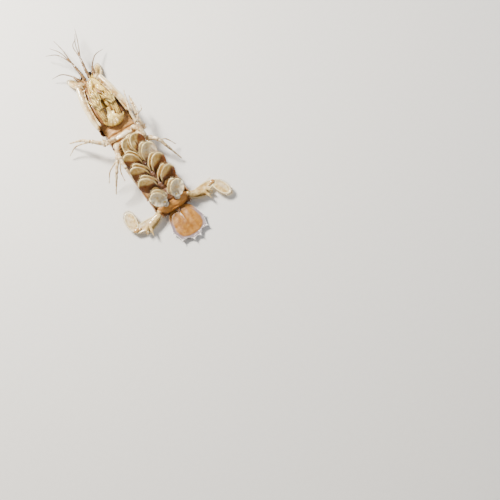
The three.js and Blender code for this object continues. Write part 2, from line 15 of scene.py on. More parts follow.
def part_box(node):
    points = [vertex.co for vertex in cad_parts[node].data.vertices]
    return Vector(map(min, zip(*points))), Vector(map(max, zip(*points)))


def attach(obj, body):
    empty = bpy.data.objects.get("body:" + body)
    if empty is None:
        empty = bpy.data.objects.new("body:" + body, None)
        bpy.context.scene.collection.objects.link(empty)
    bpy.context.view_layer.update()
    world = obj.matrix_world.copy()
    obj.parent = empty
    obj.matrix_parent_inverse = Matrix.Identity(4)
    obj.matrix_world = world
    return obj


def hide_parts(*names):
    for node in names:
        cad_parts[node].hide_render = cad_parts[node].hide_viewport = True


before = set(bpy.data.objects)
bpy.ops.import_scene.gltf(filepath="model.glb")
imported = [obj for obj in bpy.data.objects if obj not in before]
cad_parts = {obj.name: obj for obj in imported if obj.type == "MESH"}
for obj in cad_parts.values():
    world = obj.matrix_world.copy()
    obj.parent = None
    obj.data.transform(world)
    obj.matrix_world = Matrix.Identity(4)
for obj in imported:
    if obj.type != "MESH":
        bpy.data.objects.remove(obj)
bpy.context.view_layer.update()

# A mantis shrimp lying on its back. Sizes are millimetres along the animal's own axis: x to its
# right, y from the front of its face plate to the tail, z up. Finished pieces are put in the frame in
# metres.
MM = 0.001
ROOT = "root"
LOG = logging.getLogger("mantis_shrimp")

Settings = dict[str, Any]
Sockets = dict[str | int, Any]
Triple = tuple[float, float, float]
Spot = Triple
Pair = tuple[float, float]
Row = tuple[float, ...]
Random = np.random.Generator
Numbers = dict[str, float]
Place = Callable[[float, float], Vector]
LensPlace = Callable[[float, float, float], Vector]
Paint = Callable[[float, float], Numbers]
LensPaint = Callable[[float, float, float], Numbers]


class Slot(Enum):
    """The record's material slots."""

    BACK = "back_shell"
    BELLY = "belly_shell"
    IVORY = "claw_ivory"
    MERUS = "claw_merus"
    CREAM = "mouth_cream"
    LEG = "leg_ivory"
    LEAF = "swimming_leaf"
    TELSON = "tail_plate"
    PADDLE = "tail_paddle"
    CORNEA = "cornea"
    FEELER = "feeler"


class Side(Enum):
    """The animal's own sides. On its back with its head to -Y, its right is at +X."""

    RIGHT = 1
    LEFT = -1

    @property
    def sign(self) -> int:
        """Direction of this side along x."""
        return self.value

    def named(self, part: str) -> str:
        """Name of a part on this side."""
        return f"{part}_{self.name.lower()}"


def per_side(right: Any, left: Any) -> Any:
    """A dataclass field with a value for each side."""
    return field(default_factory=lambda: {Side.RIGHT: right, Side.LEFT: left})


def mix(first: float, last: float, t: float) -> float:
    """Value between two others."""
    return first + (last - first) * t


def ease(t: float) -> float:
    """Smooth step from 0 to 1."""
    t = min(1.0, max(0.0, t))
    return t * t * (3 - 2 * t)


def power(value: float, exponent: float) -> float:
    """Power of a number's size that keeps its sign."""
    return math.copysign(abs(value) ** exponent, value)


def wrapped(angle: float) -> float:
    """The same angle, from half a turn back to half a turn ahead."""
    return math.remainder(angle, 2 * math.pi)


def hump(distance: float, width: float) -> float:
    """Bell curve of height 1 round a distance of 0."""
    return math.exp(-((distance / width) ** 2))


def along(values: Sequence[float], t: float) -> float:
    """Value at t from 0 to 1 in a short list, eased at each of its entries."""
    place = min(max(t, 0.0), 1.0) * (len(values) - 1)
    first = min(int(place), len(values) - 2)
    return mix(values[first], values[first + 1], ease(place - first))


@dataclass(frozen=True)
class BodyAxis:
    """The middle line of the animal, which bows a little to one side between head and tail."""

    bow: float = 1.3
    bow_length: float = 112.0
    carapace_rear: float = 48.0

    def sway(self, y: float) -> float:
        """How far the middle line lies to the side at a station."""
        return self.bow * math.sin(math.pi * y / self.bow_length)

    def at(self, x: float, y: float, z: float) -> Vector:
        """A point of the body, in its own millimetres."""
        return Vector((x + self.sway(y), y, z))

    def offset(self) -> Vector:
        """Where the body's own origin lies in the frame, in millimetres."""
        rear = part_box("carapace")[1].y / MM
        low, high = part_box("abdominal_somite_3")
        middle = (low + high) / 2 / MM
        station = rear - self.carapace_rear
        return Vector((middle.x - self.sway(middle.y - station), station, 0))


AXIS = BodyAxis()
OFFSET = AXIS.offset()
at = AXIS.at


def path(sign: int, *spots: Spot) -> list[Vector]:
    """Points of a limb on one side, given as on the animal's right."""
    return [at(sign * x, y, z) for x, y, z in spots]


@dataclass(frozen=True)
class Tint:
    """A colour as its red, green and blue in the usual 0 to 255."""

    red: int
    green: int
    blue: int

    @property
    def linear(self) -> tuple[float, float, float, float]:
        """The colour as the shader wants it."""
        channels = [c / 255 for c in (self.red, self.green, self.blue)]
        flat = [c / 12.92 if c <= 0.04045 else ((c + 0.055) / 1.055) ** 2.4 for c in channels]
        return (*flat, 1.0)


class Value:
    """A shader socket that Python arithmetic can be done on."""

    def __init__(self, graph: "Graph", socket: bpy.types.NodeSocket) -> None:
        """Wraps a socket of a graph."""
        self.graph = graph
        self.socket = socket

    def _math(self, operation: str, first: Any, second: Any = 0.0) -> "Value":
        """One Math node on one or two values."""
        return self.graph.value("ShaderNodeMath", {"operation": operation}, {0: first, 1: second})

    def __add__(self, other: Any) -> "Value":
        """Sum."""
        return self._math("ADD", self, other)

    def __sub__(self, other: Any) -> "Value":
        """Difference."""
        return self._math("SUBTRACT", self, other)

    def __rsub__(self, other: Any) -> "Value":
        """Difference from a number."""
        return self._math("SUBTRACT", other, self)

    def __mul__(self, other: Any) -> "Value":
        """Product."""
        return self._math("MULTIPLY", self, other)

    __radd__ = __add__
    __rmul__ = __mul__

    def sine(self) -> "Value":
        """Sine of the value."""
        return self._math("SINE", self)

    def step(self, low: float, high: float) -> "Value":
        """Smooth step from 0 at low to 1 at high."""
        settings = {"interpolation_type": "SMOOTHSTEP", "clamp": True}
        if low > high:
            return 1 - self.step(high, low)
        return self.graph.value("ShaderNodeMapRange", settings, {0: self, 1: low, 2: high})


class Graph:
    """The shader of one finish, built node by node."""

    def __init__(self, name: str) -> None:
        """Starts a material with an empty shader.

        Args:
            name: The material's name.
        """
        self.material = bpy.data.materials.new(name)
        self.material.use_nodes = True
        self.tree = self.material.node_tree
        self.tree.nodes.clear()
        self.place = self.value("ShaderNodeTexCoord", output="Object")

    def node(self, kind: str, settings: Settings | None = None,
             sockets: Sockets | None = None) -> bpy.types.Node:
        """Adds a node.

        Args:
            kind: Blender's type of node.
            settings: Its settings, which are set first.
            sockets: The value or link of each socket, by name or number.

        Returns:
            The node.
        """
        made = self.tree.nodes.new(kind)
        for key, value in (settings or {}).items():
            setattr(made, key, value)
        for key, value in (sockets or {}).items():
            if isinstance(value, Value):
                self.tree.links.new(value.socket, made.inputs[key])
            else:
                made.inputs[key].default_value = value
        return made

    def value(self, kind: str, settings: Settings | None = None, sockets: Sockets | None = None,
              output: str | int = 0) -> Value:
        """Adds a node and gives one of its outputs."""
        return Value(self, self.node(kind, settings, sockets).outputs[output])

    def channel(self, name: str) -> Value:
        """A number that the piece's own vertices hold."""
        return self.value("ShaderNodeAttribute", {"attribute_name": name}, output="Fac")

    def speckle(self, per_metre: float, detail: float = 3.0, rough: float = 0.55,
                stretch: Triple = (1, 1, 1)) -> Value:
        """Noise of about 0 to 1, so many features a metre.

        Args:
            per_metre: Scale of the noise.
            detail: Octaves.
            rough: Strength of the finer octaves.
            stretch: Scale along each axis.

        Returns:
            The noise's value.
        """
        turned = self.value("ShaderNodeMapping", {}, {"Vector": self.place, "Scale": stretch})
        return self.value("ShaderNodeTexNoise", {}, {
            "Vector": turned, "Scale": per_metre, "Detail": detail, "Roughness": rough})

    def cells(self, per_metre: float) -> Value:
        """Distance to the nearest of many scattered dots."""
        return self.value("ShaderNodeTexVoronoi", {}, {"Vector": self.place, "Scale": per_metre})

    def blend(self, factor: Any, first: Any, second: Any) -> Value:
        """A colour between two others, each a tint or a colour of this graph.

        Args:
            factor: 0 for the first colour, 1 for the second.
            first: The first colour.
            second: The second colour.

        Returns:
            The mixed colour.
        """
        colours = [c.linear if isinstance(c, Tint) else c for c in (first, second)]
        settings = {"data_type": "RGBA", "clamp_factor": True}
        return self.value("ShaderNodeMix", settings, {0: factor, 6: colours[0], 7: colours[1]}, 2)


@dataclass(frozen=True)
class Finish:
    """A surface of the animal: its colours over the piece, its gloss and its fine relief."""

    name: str
    base: Tint
    dark: Tint
    light: Tint
    rough: float = 0.34
    wet: float = 0.55
    relief: float = 0.4
    grain: float = 1500.0
    soft: float = 0.05

    def colour(self, graph: Graph) -> Value:
        """Colour over the surface: mottled, with darker specks and clouds."""
        mottle = graph.speckle(self.grain * 0.3)
        body = graph.blend(mottle.step(0.35, 0.7), self.base, self.light)
        specks = graph.speckle(self.grain * 1.4, 4).step(0.62, 0.74)
        body = graph.blend(specks * 0.5, body, self.dark)
        clouds = graph.speckle(self.grain * 0.09, 2).step(0.5, 0.75)
        return graph.blend(clouds * 0.3, body, self.dark)

    def height(self, graph: Graph) -> Value:
        """Fine relief: pores, and broad soft wrinkles that break up the wet shine."""
        pores = graph.cells(self.grain * 1.6).step(0.0, 0.5)
        return graph.speckle(self.grain * 0.45, 3) * 2.2 + graph.speckle(self.grain, 4) + pores * 0.4

    def gloss(self, graph: Graph) -> Value:
        """Roughness over the surface, with wetter and drier patches."""
        return graph.speckle(self.grain * 0.2).step(0.3, 0.75) * 0.24 + (self.rough - 0.12)

    def build(self) -> bpy.types.Material:
        """Makes the material."""
        graph = Graph(self.name)
        bump = graph.value("ShaderNodeBump", {}, {
            "Strength": self.relief, "Distance": 0.12 * MM, "Height": self.height(graph)})
        surface = graph.value("ShaderNodeBsdfPrincipled", {}, {
            "Base Color": self.colour(graph), "Roughness": self.gloss(graph), "Normal": bump,
            "Coat Weight": self.wet, "Coat Roughness": 0.08, "IOR": 1.45,
            "Subsurface Weight": self.soft, "Subsurface Scale": 1.0 * MM,
            "Subsurface Radius": (1.0, 0.75, 0.5)})
        graph.node("ShaderNodeOutputMaterial", {}, {"Surface": surface})
        return graph.material


@dataclass(frozen=True)
class BackFinish(Finish):
    """Armour of the back: tan, darker along each plate's rear edge, with pale worn keels."""

    edge: Tint = Tint(96, 66, 42)

    def colour(self, graph: Graph) -> Value:
        """Tan with dark freckles, a dark band at the rear edge and pale keels."""
        body = super().colour(graph)
        streaks = graph.speckle(self.grain * 0.5, 3, 0.6, (1, 0.25, 1)).step(0.52, 0.72)
        body = graph.blend(streaks * 0.45, body, self.dark)
        rear = graph.channel("along").step(0.8, 0.97)
        body = graph.blend(rear * 0.75, body, self.edge)
        return graph.blend(graph.channel("rim") * 0.55, body, self.light)


@dataclass(frozen=True)
class BellyFinish(Finish):
    """Soft underside between the plates: ochre tan, paler at the throat, with painted shade in the folds,
    beside the jaws, under the swimming legs and towards the sides.
    """

    throat: Tint = Tint(214, 164, 106)
    amber: Tint = Tint(190, 128, 52)

    def colour(self, graph: Graph) -> Value:
        """Tan with streaks across, a paler throat, an amber last ring, and brown from random stains and
        painted shade in the folds.
        """
        body = super().colour(graph)
        veins = graph.speckle(self.grain * 0.3, 4, 0.7, (0.4, 1, 1)).step(0.5, 0.66)
        body = graph.blend(veins * 0.4, body, self.dark)
        body = graph.blend(graph.channel("white") * 0.85, body, self.throat)
        body = graph.blend(graph.channel("rim") * 0.85, body, self.amber)
        # Random stains, plus the painted shade that the piece marks as its tone.
        stains_and_shade = graph.channel("tone") + (graph.speckle(self.grain * 0.25, 3) - 0.5) * 0.5
        stains_and_shade = stains_and_shade - graph.channel("white") * 0.25
        return graph.blend(stains_and_shade.step(0.15, 0.8), body, self.dark)


@dataclass(frozen=True)
class IvoryFinish(Finish):
    """Smooth ivory of the claws and legs, stained towards its ends and joints, with painted shade and a
    painted highlight where the piece marks them.
    """

    stain: Tint = Tint(214, 176, 150)

    def colour(self, graph: Graph) -> Value:
        """Ivory with a tan blush, a painted highlight where the piece marks it white, and stained joints and
        painted shade where it marks its tone.
        """
        body = super().colour(graph)
        blush = graph.speckle(self.grain * 0.12, 2).step(0.42, 0.7)
        body = graph.blend(blush * 0.5, body, self.stain)
        # Paler where the piece marks it white; on the claws this is a painted highlight along the outer top.
        body = graph.blend(graph.channel("white") * 0.9, body, self.light)
        # Darker where the piece marks its tone: stained joints and ends, and painted shade in grooves,
        # hollows and low places.
        return graph.blend(graph.channel("tone"), body, self.dark)


@dataclass(frozen=True)
class JawFinish(IvoryFinish):
    """Cream of the small limbs round the mouth, yellow at their edges, points and bristles."""

    yellow: Tint = Tint(226, 190, 70)

    def colour(self, graph: Graph) -> Value:
        """Cream, yellow where the piece marks its points, with fine pale ridges."""
        body = super().colour(graph)
        ridges = graph.speckle(self.grain * 0.5, 3, 0.6, (1, 0.3, 1)).step(0.5, 0.66)
        body = graph.blend(ridges * 0.4, body, self.light)
        body = graph.blend(graph.channel("rim").step(0.8, 1.0) * 0.7, body, self.yellow)
        # Darker where the piece marks its tone, mostly painted shade in gaps, undersides and low parts.
        return graph.blend(graph.channel("tone"), body, self.dark)


@dataclass(frozen=True)
class LeafFinish(Finish):
    """Leaves of the swimming legs and tail: cream tan with fine veins, a pale rim and a brown root; on the
    swimming legs the brown is painted shade and the rim is paler on the painted lit side.
    """

    rim: Tint = Tint(240, 226, 182)
    white: Tint = Tint(238, 236, 222)
    middle: Tint = Tint(128, 86, 48)

    def colour(self, graph: Graph) -> Value:
        """Leaf colour from the root out to the rim, with veins that fan out."""
        body = super().colour(graph)
        fan = (graph.channel("fan") * 70 + graph.speckle(self.grain * 0.2) * 3).sine()
        body = graph.blend(fan.step(0.35, 1.0) * 0.3, body, self.light)
        # Brown where the piece marks its tone: painted shade on the swimming legs, the root's own colour on
        # the tail paddles.
        shade = graph.channel("tone") + (graph.speckle(self.grain * 0.1, 3) - 0.5) * 0.35
        body = graph.blend(shade.step(0.1, 0.6), body, self.middle)
        body = graph.blend(shade.step(0.55, 1.0) * 0.85, body, self.dark)
        # White where the piece marks it: the last pair's own pale colour, and painted highlight streaks on
        # some other leaves.
        streaks = graph.speckle(self.grain * 0.35, 3, 0.6, (1, 0.35, 1)).step(0.4, 0.6)
        body = graph.blend(graph.channel("white") * (streaks * 0.6 + 0.4), body, self.white)
        # Pale rim; on the swimming legs it is painted brighter on the lit side as a highlight.
        rim = graph.channel("rim") + (graph.speckle(self.grain * 0.2) - 0.5) * 0.15
        return graph.blend(rim.step(0.72, 0.93) * 0.9, body, self.rim)


@dataclass(frozen=True)
class TelsonFinish(Finish):
    """Tail plate: amber below with a lilac rim, near-white teeth, and two eye spots on its back."""

    rim: Tint = Tint(176, 160, 164)
    spot: Tint = Tint(28, 22, 20)
    white: Tint = Tint(240, 234, 230)

    def colour(self, graph: Graph) -> Value:
        """Amber, lilac towards the rim, and the spots where the piece marks them.

        Args:
            graph: The shader.

        Returns:
            The colour.
        """
        body = super().colour(graph)
        smears = graph.speckle(self.grain * 0.2, 3, 0.6, (1, 0.4, 1)).step(0.45, 0.72)
        body = graph.blend(smears * 0.3, body, self.light)
        clouds = graph.speckle(self.grain * 0.16, 3) * 0.1
        rim = graph.channel("rim") + clouds
        body = graph.blend(graph.channel("along").step(0.3, 0.02) * 0.3, body, self.dark)
        rear = graph.channel("along").step(0.12, 0.4)
        body = graph.blend(rim.step(0.82, 0.93) * rear * 0.95, body, self.rim)
        body = graph.blend(graph.channel("rim").step(0.96, 0.99) * rear, body, self.white)
        streaks = graph.speckle(self.grain * 0.5, 3, 0.6, (1, 0.3, 1)).step(0.4, 0.6)
        body = graph.blend(graph.channel("white") * streaks, body, self.white)
        ring = graph.channel("tone")
        body = graph.blend(ring.step(0.2, 0.35), body, self.white)
        return graph.blend(ring.step(0.5, 0.62), body, self.spot)


@dataclass(frozen=True)
class CorneaFinish(Finish):
    """Compound eye: near black under a clear gloss, with fine facets."""

    def colour(self, graph: Graph) -> Value:
        """Near black with a faint bronze sheen and a paler waist between the lobes."""
        body = graph.blend(graph.speckle(self.grain * 0.3).step(0.4, 0.7), self.base, self.dark)
        return graph.blend(graph.channel("tone") * 0.6, body, self.light)

    def height(self, graph: Graph) -> Value:
        """Facets as small domes."""
        return 1 - graph.cells(self.grain * 4)


@dataclass(frozen=True)
class FeelerFinish(Finish):
    """Feelers: amber, ringed along their length."""

    def colour(self, graph: Graph) -> Value:
        """Amber with darker rings between the many short joints."""
        body = super().colour(graph)
        rings = (graph.channel("along") * 380).sine().step(0.2, 0.9)
        return graph.blend(rings * 0.45, body, self.dark)


@dataclass(frozen=True)
class BristleFinish(Finish):
    """Bristles: the colour of the rim they grow from, paler and clearer to the tip."""

    def colour(self, graph: Graph) -> Value:
        """Root colour to tip colour along each bristle."""
        return graph.blend(graph.channel("along").step(0.0, 0.8), self.base, self.light)


FINISHES = {
    Slot.BACK: BackFinish("back", Tint(134, 86, 44), Tint(66, 38, 18), Tint(180, 132, 80)),
    Slot.BELLY: BellyFinish("belly", Tint(156, 110, 56), Tint(96, 58, 26), Tint(190, 148, 86),
                            rough=0.62, wet=0.04, relief=0.5, grain=1300.0, soft=0.0),
    Slot.IVORY: IvoryFinish("ivory", Tint(188, 152, 90), Tint(120, 76, 42), Tint(248, 232, 190),
                            rough=0.26, relief=0.3, grain=900.0, stain=Tint(178, 136, 84)),
    Slot.MERUS: IvoryFinish("merus", Tint(124, 80, 42), Tint(62, 34, 14), Tint(164, 120, 70),
                            rough=0.45, wet=0.15, relief=0.4, soft=0.0, stain=Tint(98, 54, 26)),
    Slot.CREAM: JawFinish("cream", Tint(224, 180, 78), Tint(104, 64, 22), Tint(250, 230, 148),
                          rough=0.36, wet=0.35, relief=0.6, stain=Tint(206, 156, 60)),
    Slot.LEG: IvoryFinish("leg", Tint(206, 174, 120), Tint(116, 72, 34), Tint(248, 236, 204),
                          rough=0.28, relief=0.3, stain=Tint(184, 138, 86)),
    Slot.LEAF: LeafFinish("leaf", Tint(214, 168, 84), Tint(74, 42, 14), Tint(244, 216, 142),
                          rough=0.36, wet=0.25, relief=0.4, rim=Tint(250, 228, 166),
                          white=Tint(246, 238, 212), middle=Tint(118, 68, 26)),
    Slot.TELSON: TelsonFinish("telson", Tint(146, 94, 26), Tint(96, 56, 14), Tint(172, 120, 46),
                              rough=0.38, wet=0.15, relief=0.3, rim=Tint(134, 120, 128)),
    Slot.PADDLE: LeafFinish("paddle", Tint(184, 146, 80), Tint(108, 58, 14), Tint(228, 202, 140),
                            rough=0.28, relief=0.35, rim=Tint(244, 230, 190), middle=Tint(148, 92, 32)),
    Slot.CORNEA: CorneaFinish("cornea", Tint(22, 19, 22), Tint(38, 32, 30), Tint(92, 74, 52),
                              rough=0.2, wet=1.0, relief=0.3, soft=0.0),
    Slot.FEELER: FeelerFinish("feeler", Tint(104, 74, 38), Tint(52, 32, 16), Tint(150, 114, 64), soft=0.0),
}
BRISTLES = BristleFinish("bristle", Tint(160, 118, 62), Tint(96, 58, 26), Tint(232, 214, 168), relief=0.05)


@cache
def material_of(finish: Finish) -> bpy.types.Material:
    """The material of a finish, which is made once."""
    return finish.build()


def set_in_frame(mesh: bpy.types.Mesh, name: str, slot: Slot, material: bpy.types.Material,
                 nodes: Sequence[str]) -> None:
    """Makes a mesh a smooth piece of the model.

    Args:
        mesh: The mesh, in the frame's metres.
        name: The piece's name.
        slot: The record's slot; not used.
        material: Its finish.
        nodes: The frame's nodes that it stands for or grows from.
    """
    mesh.polygons.foreach_set("use_smooth", [True] * len(mesh.polygons))
    mesh.materials.append(material)
    piece = bpy.data.objects.new(name, mesh)
    bpy.context.scene.collection.objects.link(piece)
    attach(piece, ROOT)
    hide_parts(*nodes)
    LOG.info("%s: %d faces", name, len(mesh.polygons))


def even_steps(count: int, ends: float = 0.5) -> list[float]:
    """Stations from 0 to 1 in so many steps: even if ends is 0, and closest at both ends if it is 1."""
    return [mix(i / count, (1 - math.cos(math.pi * i / count)) / 2, ends) for i in range(count + 1)]


class Clay:
    """A piece being modelled out of tubes, lenses, sheets, spikes and balls."""

    CHANNELS = ("along", "rim", "tone", "fan", "white")

    def __init__(self) -> None:
        """Starts an empty piece."""
        self.mesh = bmesh.new()
        self._layers(self.mesh)

    def _layers(self, mesh: bmesh.types.BMesh) -> dict[str, bmesh.types.BMLayerItem]:
        """The painted numbers that each vertex holds."""
        floats = mesh.verts.layers.float
        return {name: floats.get(name) or floats.new(name) for name in self.CHANNELS}

    def _absorb(self, part: bmesh.types.BMesh) -> None:
        """Adds a part to the piece."""
        bmesh.ops.recalc_face_normals(part, faces=part.faces)
        carrier = bpy.data.meshes.new("carrier")
        part.to_mesh(carrier)
        part.free()
        self.mesh.from_mesh(carrier)
        bpy.data.meshes.remove(carrier)

    def tube(self, place: Place, stations: Sequence[float], sides: int, paint: Paint | None = None) -> None:
        """A closed tube: a circle extruded from station to station, then put in place.

        Args:
            place: Gives a point from how far along it is and the angle round it (0 is up).
            stations: Where the rings are, from 0 to 1.
            sides: Points round it.
            paint: Gives the painted numbers from the same two values.
        """
        part = bmesh.new()
        layers = self._layers(part)
        bmesh.ops.create_circle(part, segments=sides, radius=1)
        edges = list(part.edges)
        bmesh.ops.contextual_create(part, geom=edges)
        for before, after in zip(stations, stations[1:]):
            made = bmesh.ops.extrude_edge_only(part, edges=edges)["geom"]
            ring = [g for g in made if isinstance(g, bmesh.types.BMVert)]
            edges = [g for g in made if isinstance(g, bmesh.types.BMEdge)]
            bmesh.ops.translate(part, vec=(0, 0, after - before), verts=ring)
        bmesh.ops.contextual_create(part, geom=edges)
        for vert in part.verts:
            t = min(1.0, max(0.0, vert.co.z + stations[0]))
            angle = math.atan2(vert.co.x, vert.co.y)
            numbers = {"along": t, "fan": 0.5 + 0.5 * math.cos(angle)} | (paint(t, angle) if paint else {})
            for name, number in numbers.items():
                vert[layers[name]] = number
            vert.co = place(t, angle)
        self._absorb(part)

    def lens(self, place: LensPlace, around: int, rings: int, paint: LensPaint | None = None) -> None:
        """A closed lens: a ball whose points are moved by their angle, reach and face.

        Args:
            place: Gives a point from the angle (0 is +X), the reach from the middle and the face.
            around: Points round the rim.
            rings: Rings from one face's middle to the other's.
            paint: Gives the painted numbers from the same three values.
        """
        part = bmesh.new()
        layers = self._layers(part)
        bmesh.ops.create_uvsphere(part, u_segments=around, v_segments=rings, radius=1)
        for vert in part.verts:
            angle = math.atan2(vert.co.y, vert.co.x)
            reach = min(1.0, math.hypot(vert.co.x, vert.co.y))
            numbers = {"along": 0.5 + 0.5 * math.sin(angle) * reach, "rim": reach}
            numbers["fan"] = math.atan2(math.cos(angle) * reach, 1.02 + math.sin(angle) * reach) / math.pi
            if paint:
                numbers |= paint(angle, reach, vert.co.z)
            for name, number in numbers.items():
                vert[layers[name]] = number
            vert.co = place(angle, reach, vert.co.z)
        self._absorb(part)

    def sheet(self, place: Place, across: int, length: int, thick: float, paint: Paint | None = None) -> None:
        """A shell of even thickness: a grid that is bent, then made solid.

        Args:
            place: Gives a point of the outer face from u, -1 to 1 across, and t, 0 to 1 along.
            across: Cells across.
            length: Cells along.
            thick: The wall, grown towards the inside.
            paint: Gives the painted numbers from u and t.
        """
        part = bmesh.new()
        layers = self._layers(part)
        bmesh.ops.create_grid(part, x_segments=across, y_segments=length, size=1)
        for vert in part.verts:
            u, t = vert.co.x, (vert.co.y + 1) / 2
            numbers = {"along": t, "fan": 0.5 + 0.5 * u} | (paint(u, t) if paint else {})
            for name, number in numbers.items():
                vert[layers[name]] = number
            vert.co = place(u, t)
        for face in part.faces:
            face.normal_update()
        bmesh.ops.solidify(part, geom=part.faces[:], thickness=thick)
        self._absorb(part)

    def spike(self, root: Vector, tip: Vector, radius: float, sides: int = 8, tone: float = 0.0) -> None:
        """A tapered spine from a root to a tip.

        Args:
            root: Middle of its base.
            tip: Its point.
            radius: At the base.
            sides: Points round it.
            tone: Painted number of the whole spine.
        """
        part = bmesh.new()
        layers = self._layers(part)
        ahead = tip - root
        turn = ahead.to_track_quat("Z", "Y").to_matrix().to_4x4()
        bmesh.ops.create_cone(part, cap_ends=True, segments=sides, radius1=radius, radius2=radius * 0.08,
                              depth=ahead.length, matrix=Matrix.Translation((root + tip) / 2) @ turn)
        for vert in part.verts:
            vert[layers["rim"]] = 1.0
            vert[layers["tone"]] = tone
            vert[layers["along"]] = (vert.co - root).length / ahead.length
        self._absorb(part)

    def ball(self, centre: Vector, radii: Triple, tone: float = 0.0, turn: Matrix | None = None) -> None:
        """A rounded knob.

        Args:
            centre: Its middle.
            radii: Half sizes along its own axes.
            tone: Painted number of the whole knob.
            turn: Rotation of its own axes.
        """
        part = bmesh.new()
        layers = self._layers(part)
        shape = Matrix.Translation(centre) @ (turn or Matrix.Identity(4)) @ Matrix.Diagonal((*radii, 1))
        bmesh.ops.create_icosphere(part, subdivisions=3, radius=1, matrix=shape)
        for vert in part.verts:
            vert[layers["tone"]] = tone
            vert[layers["along"]] = 0.5
        self._absorb(part)

    def wrinkle(self, size: float, depth: float) -> None:
        """Moves the surface in and out a little, so that no face is perfectly even.

        Args:
            size: Width of a wrinkle, in millimetres.
            depth: How far the surface moves.
        """
        self.mesh.normal_update()
        for vert in self.mesh.verts:
            vert.co += vert.normal * noise.noise(vert.co / size) * depth

    def paint_shade_below(self, high: float, low: float, most: float) -> None:
        """Paints shade into what lies low between its neighbours.

        Args:
            high: Height where the painted shade starts.
            low: Height where it is full.
            most: Painted number where it is full.
        """
        tone = self.mesh.verts.layers.float["tone"]
        for vert in self.mesh.verts:
            vert[tone] = max(vert[tone], most * ease((high - vert.co.z) / (high - low)))

    def finish(self, name: str, slot: Slot, nodes: Sequence[str]) -> None:
        """Puts the piece in the frame, with its own slot's finish.

        Args:
            name: The piece's name.
            slot: The record's slot.
            nodes: The frame's nodes that it stands for.
        """
        bmesh.ops.translate(self.mesh, vec=OFFSET, verts=self.mesh.verts)
        for vert in self.mesh.verts:
            vert.co.z = max(vert.co.z, 0.0)
        bmesh.ops.scale(self.mesh, vec=(MM, MM, MM), verts=self.mesh.verts)
        mesh = bpy.data.meshes.new(name)
        self.mesh.to_mesh(mesh)
        self.mesh.free()
        set_in_frame(mesh, name, slot, material_of(FINISHES[slot]), nodes)


class Route:
    """A smooth line through a limb's joints, with its own sideways and upward directions."""

    def __init__(self, joints: Sequence[Vector]) -> None:
        """Takes the points that the line runs through."""
        self.joints = list(joints)

    def _ends(self, index: int) -> tuple[Vector, Vector]:
        """Points just before and after one stretch, made up where the line ends."""
        first, last = self.joints[index], self.joints[index + 1]
        before = self.joints[index - 1] if index else first * 2 - last
        after = self.joints[index + 2] if index + 2 < len(self.joints) else last * 2 - first
        return before, after

    def point(self, t: float) -> Vector:
        """Point at t from 0 to 1, each stretch between joints taking an equal share."""
        place = min(max(t, 0.0), 1.0) * (len(self.joints) - 1)
        index = min(int(place), len(self.joints) - 2)
        share = place - index
        p0, p3 = self._ends(index)
        p1, p2 = self.joints[index], self.joints[index + 1]
        gaps = [max((b - a).length, 1e-4) ** 0.5 for a, b in ((p0, p1), (p1, p2), (p2, p3))]
        start = (p1 - p0) / gaps[0] - (p2 - p0) / (gaps[0] + gaps[1]) + (p2 - p1) / gaps[1]
        end = (p2 - p1) / gaps[1] - (p3 - p1) / (gaps[1] + gaps[2]) + (p3 - p2) / gaps[2]
        start, end = start * gaps[1], end * gaps[1]
        square, cube = share * share, share ** 3
        return (p1 * (2 * cube - 3 * square + 1) + start * (cube - 2 * square + share)
                + p2 * (3 * square - 2 * cube) + end * (cube - square))

    def frame(self, t: float) -> tuple[Vector, Vector, Vector, Vector]:
        """Point, heading, sideways and upward directions at t."""
        step = 0.004
        low, high = max(0.0, t - step), min(1.0, t + step)
        ahead = (self.point(high) - self.point(low)).normalized()
        across = ahead.cross(Vector((0, 0, 1))).normalized()
        return self.point(t), ahead, across, across.cross(ahead)


@dataclass
class Limb:
    """A limb or feeler: a tube along a route that narrows, swells at its joints and has round ends."""

    joints: Sequence[Vector]
    radii: Sequence[float]
    flat: float = 1.0
    pinch: float = 0.0
    swell: float = 0.0
    sides: int = 14
    steps: int = 40
    square: float = 1.0
    round_ends: float = 0.04
    stain: float = 0.6
    route: Route = field(init=False)

    def __post_init__(self) -> None:
        """Works out the route."""
        self.route = Route(self.joints)

    def _joint(self, t: float) -> float:
        """Signed distance to the nearest inner joint, in shares of a stretch."""
        place = t * (len(self.joints) - 1)
        nearest = min(max(round(place), 1), len(self.joints) - 2)
        return place - nearest

    def radius(self, t: float) -> float:
        """Half thickness at t."""
        inner = len(self.joints) > 2
        off = self._joint(t) if inner else 1.0
        shape = 1 + self.swell * hump(off + 0.12, 0.1) + self.swell * 0.6 * hump(off - 0.12, 0.08)
        shape -= self.pinch * hump(off, 0.045)
        near = min(t, 1 - t) / self.round_ends
        cap = math.sqrt(max(0.0, 1 - (1 - near) ** 2)) if near < 1 else 1.0
        return along(self.radii, t) * shape * max(cap, 0.06)

    def surface(self, t: float, angle: float) -> Vector:
        """A point of its skin."""
        centre, _, across, over = self.route.frame(t)
        radius = self.radius(t)
        wide = power(math.sin(angle), self.square) * radius * self.flat
        return centre + across * wide + over * power(math.cos(angle), self.square) * radius

    def add_to(self, clay: Clay) -> None:
        """Models the limb into a piece."""
        inner = len(self.joints) > 2 and self.pinch > 0

        def paint(t: float, angle: float) -> Numbers:
            """Painted numbers of a point."""
            return {"tone": self.stain * hump(self._joint(t), 0.07) if inner else 0.0}

        clay.tube(self.surface, even_steps(self.steps), self.sides, paint)


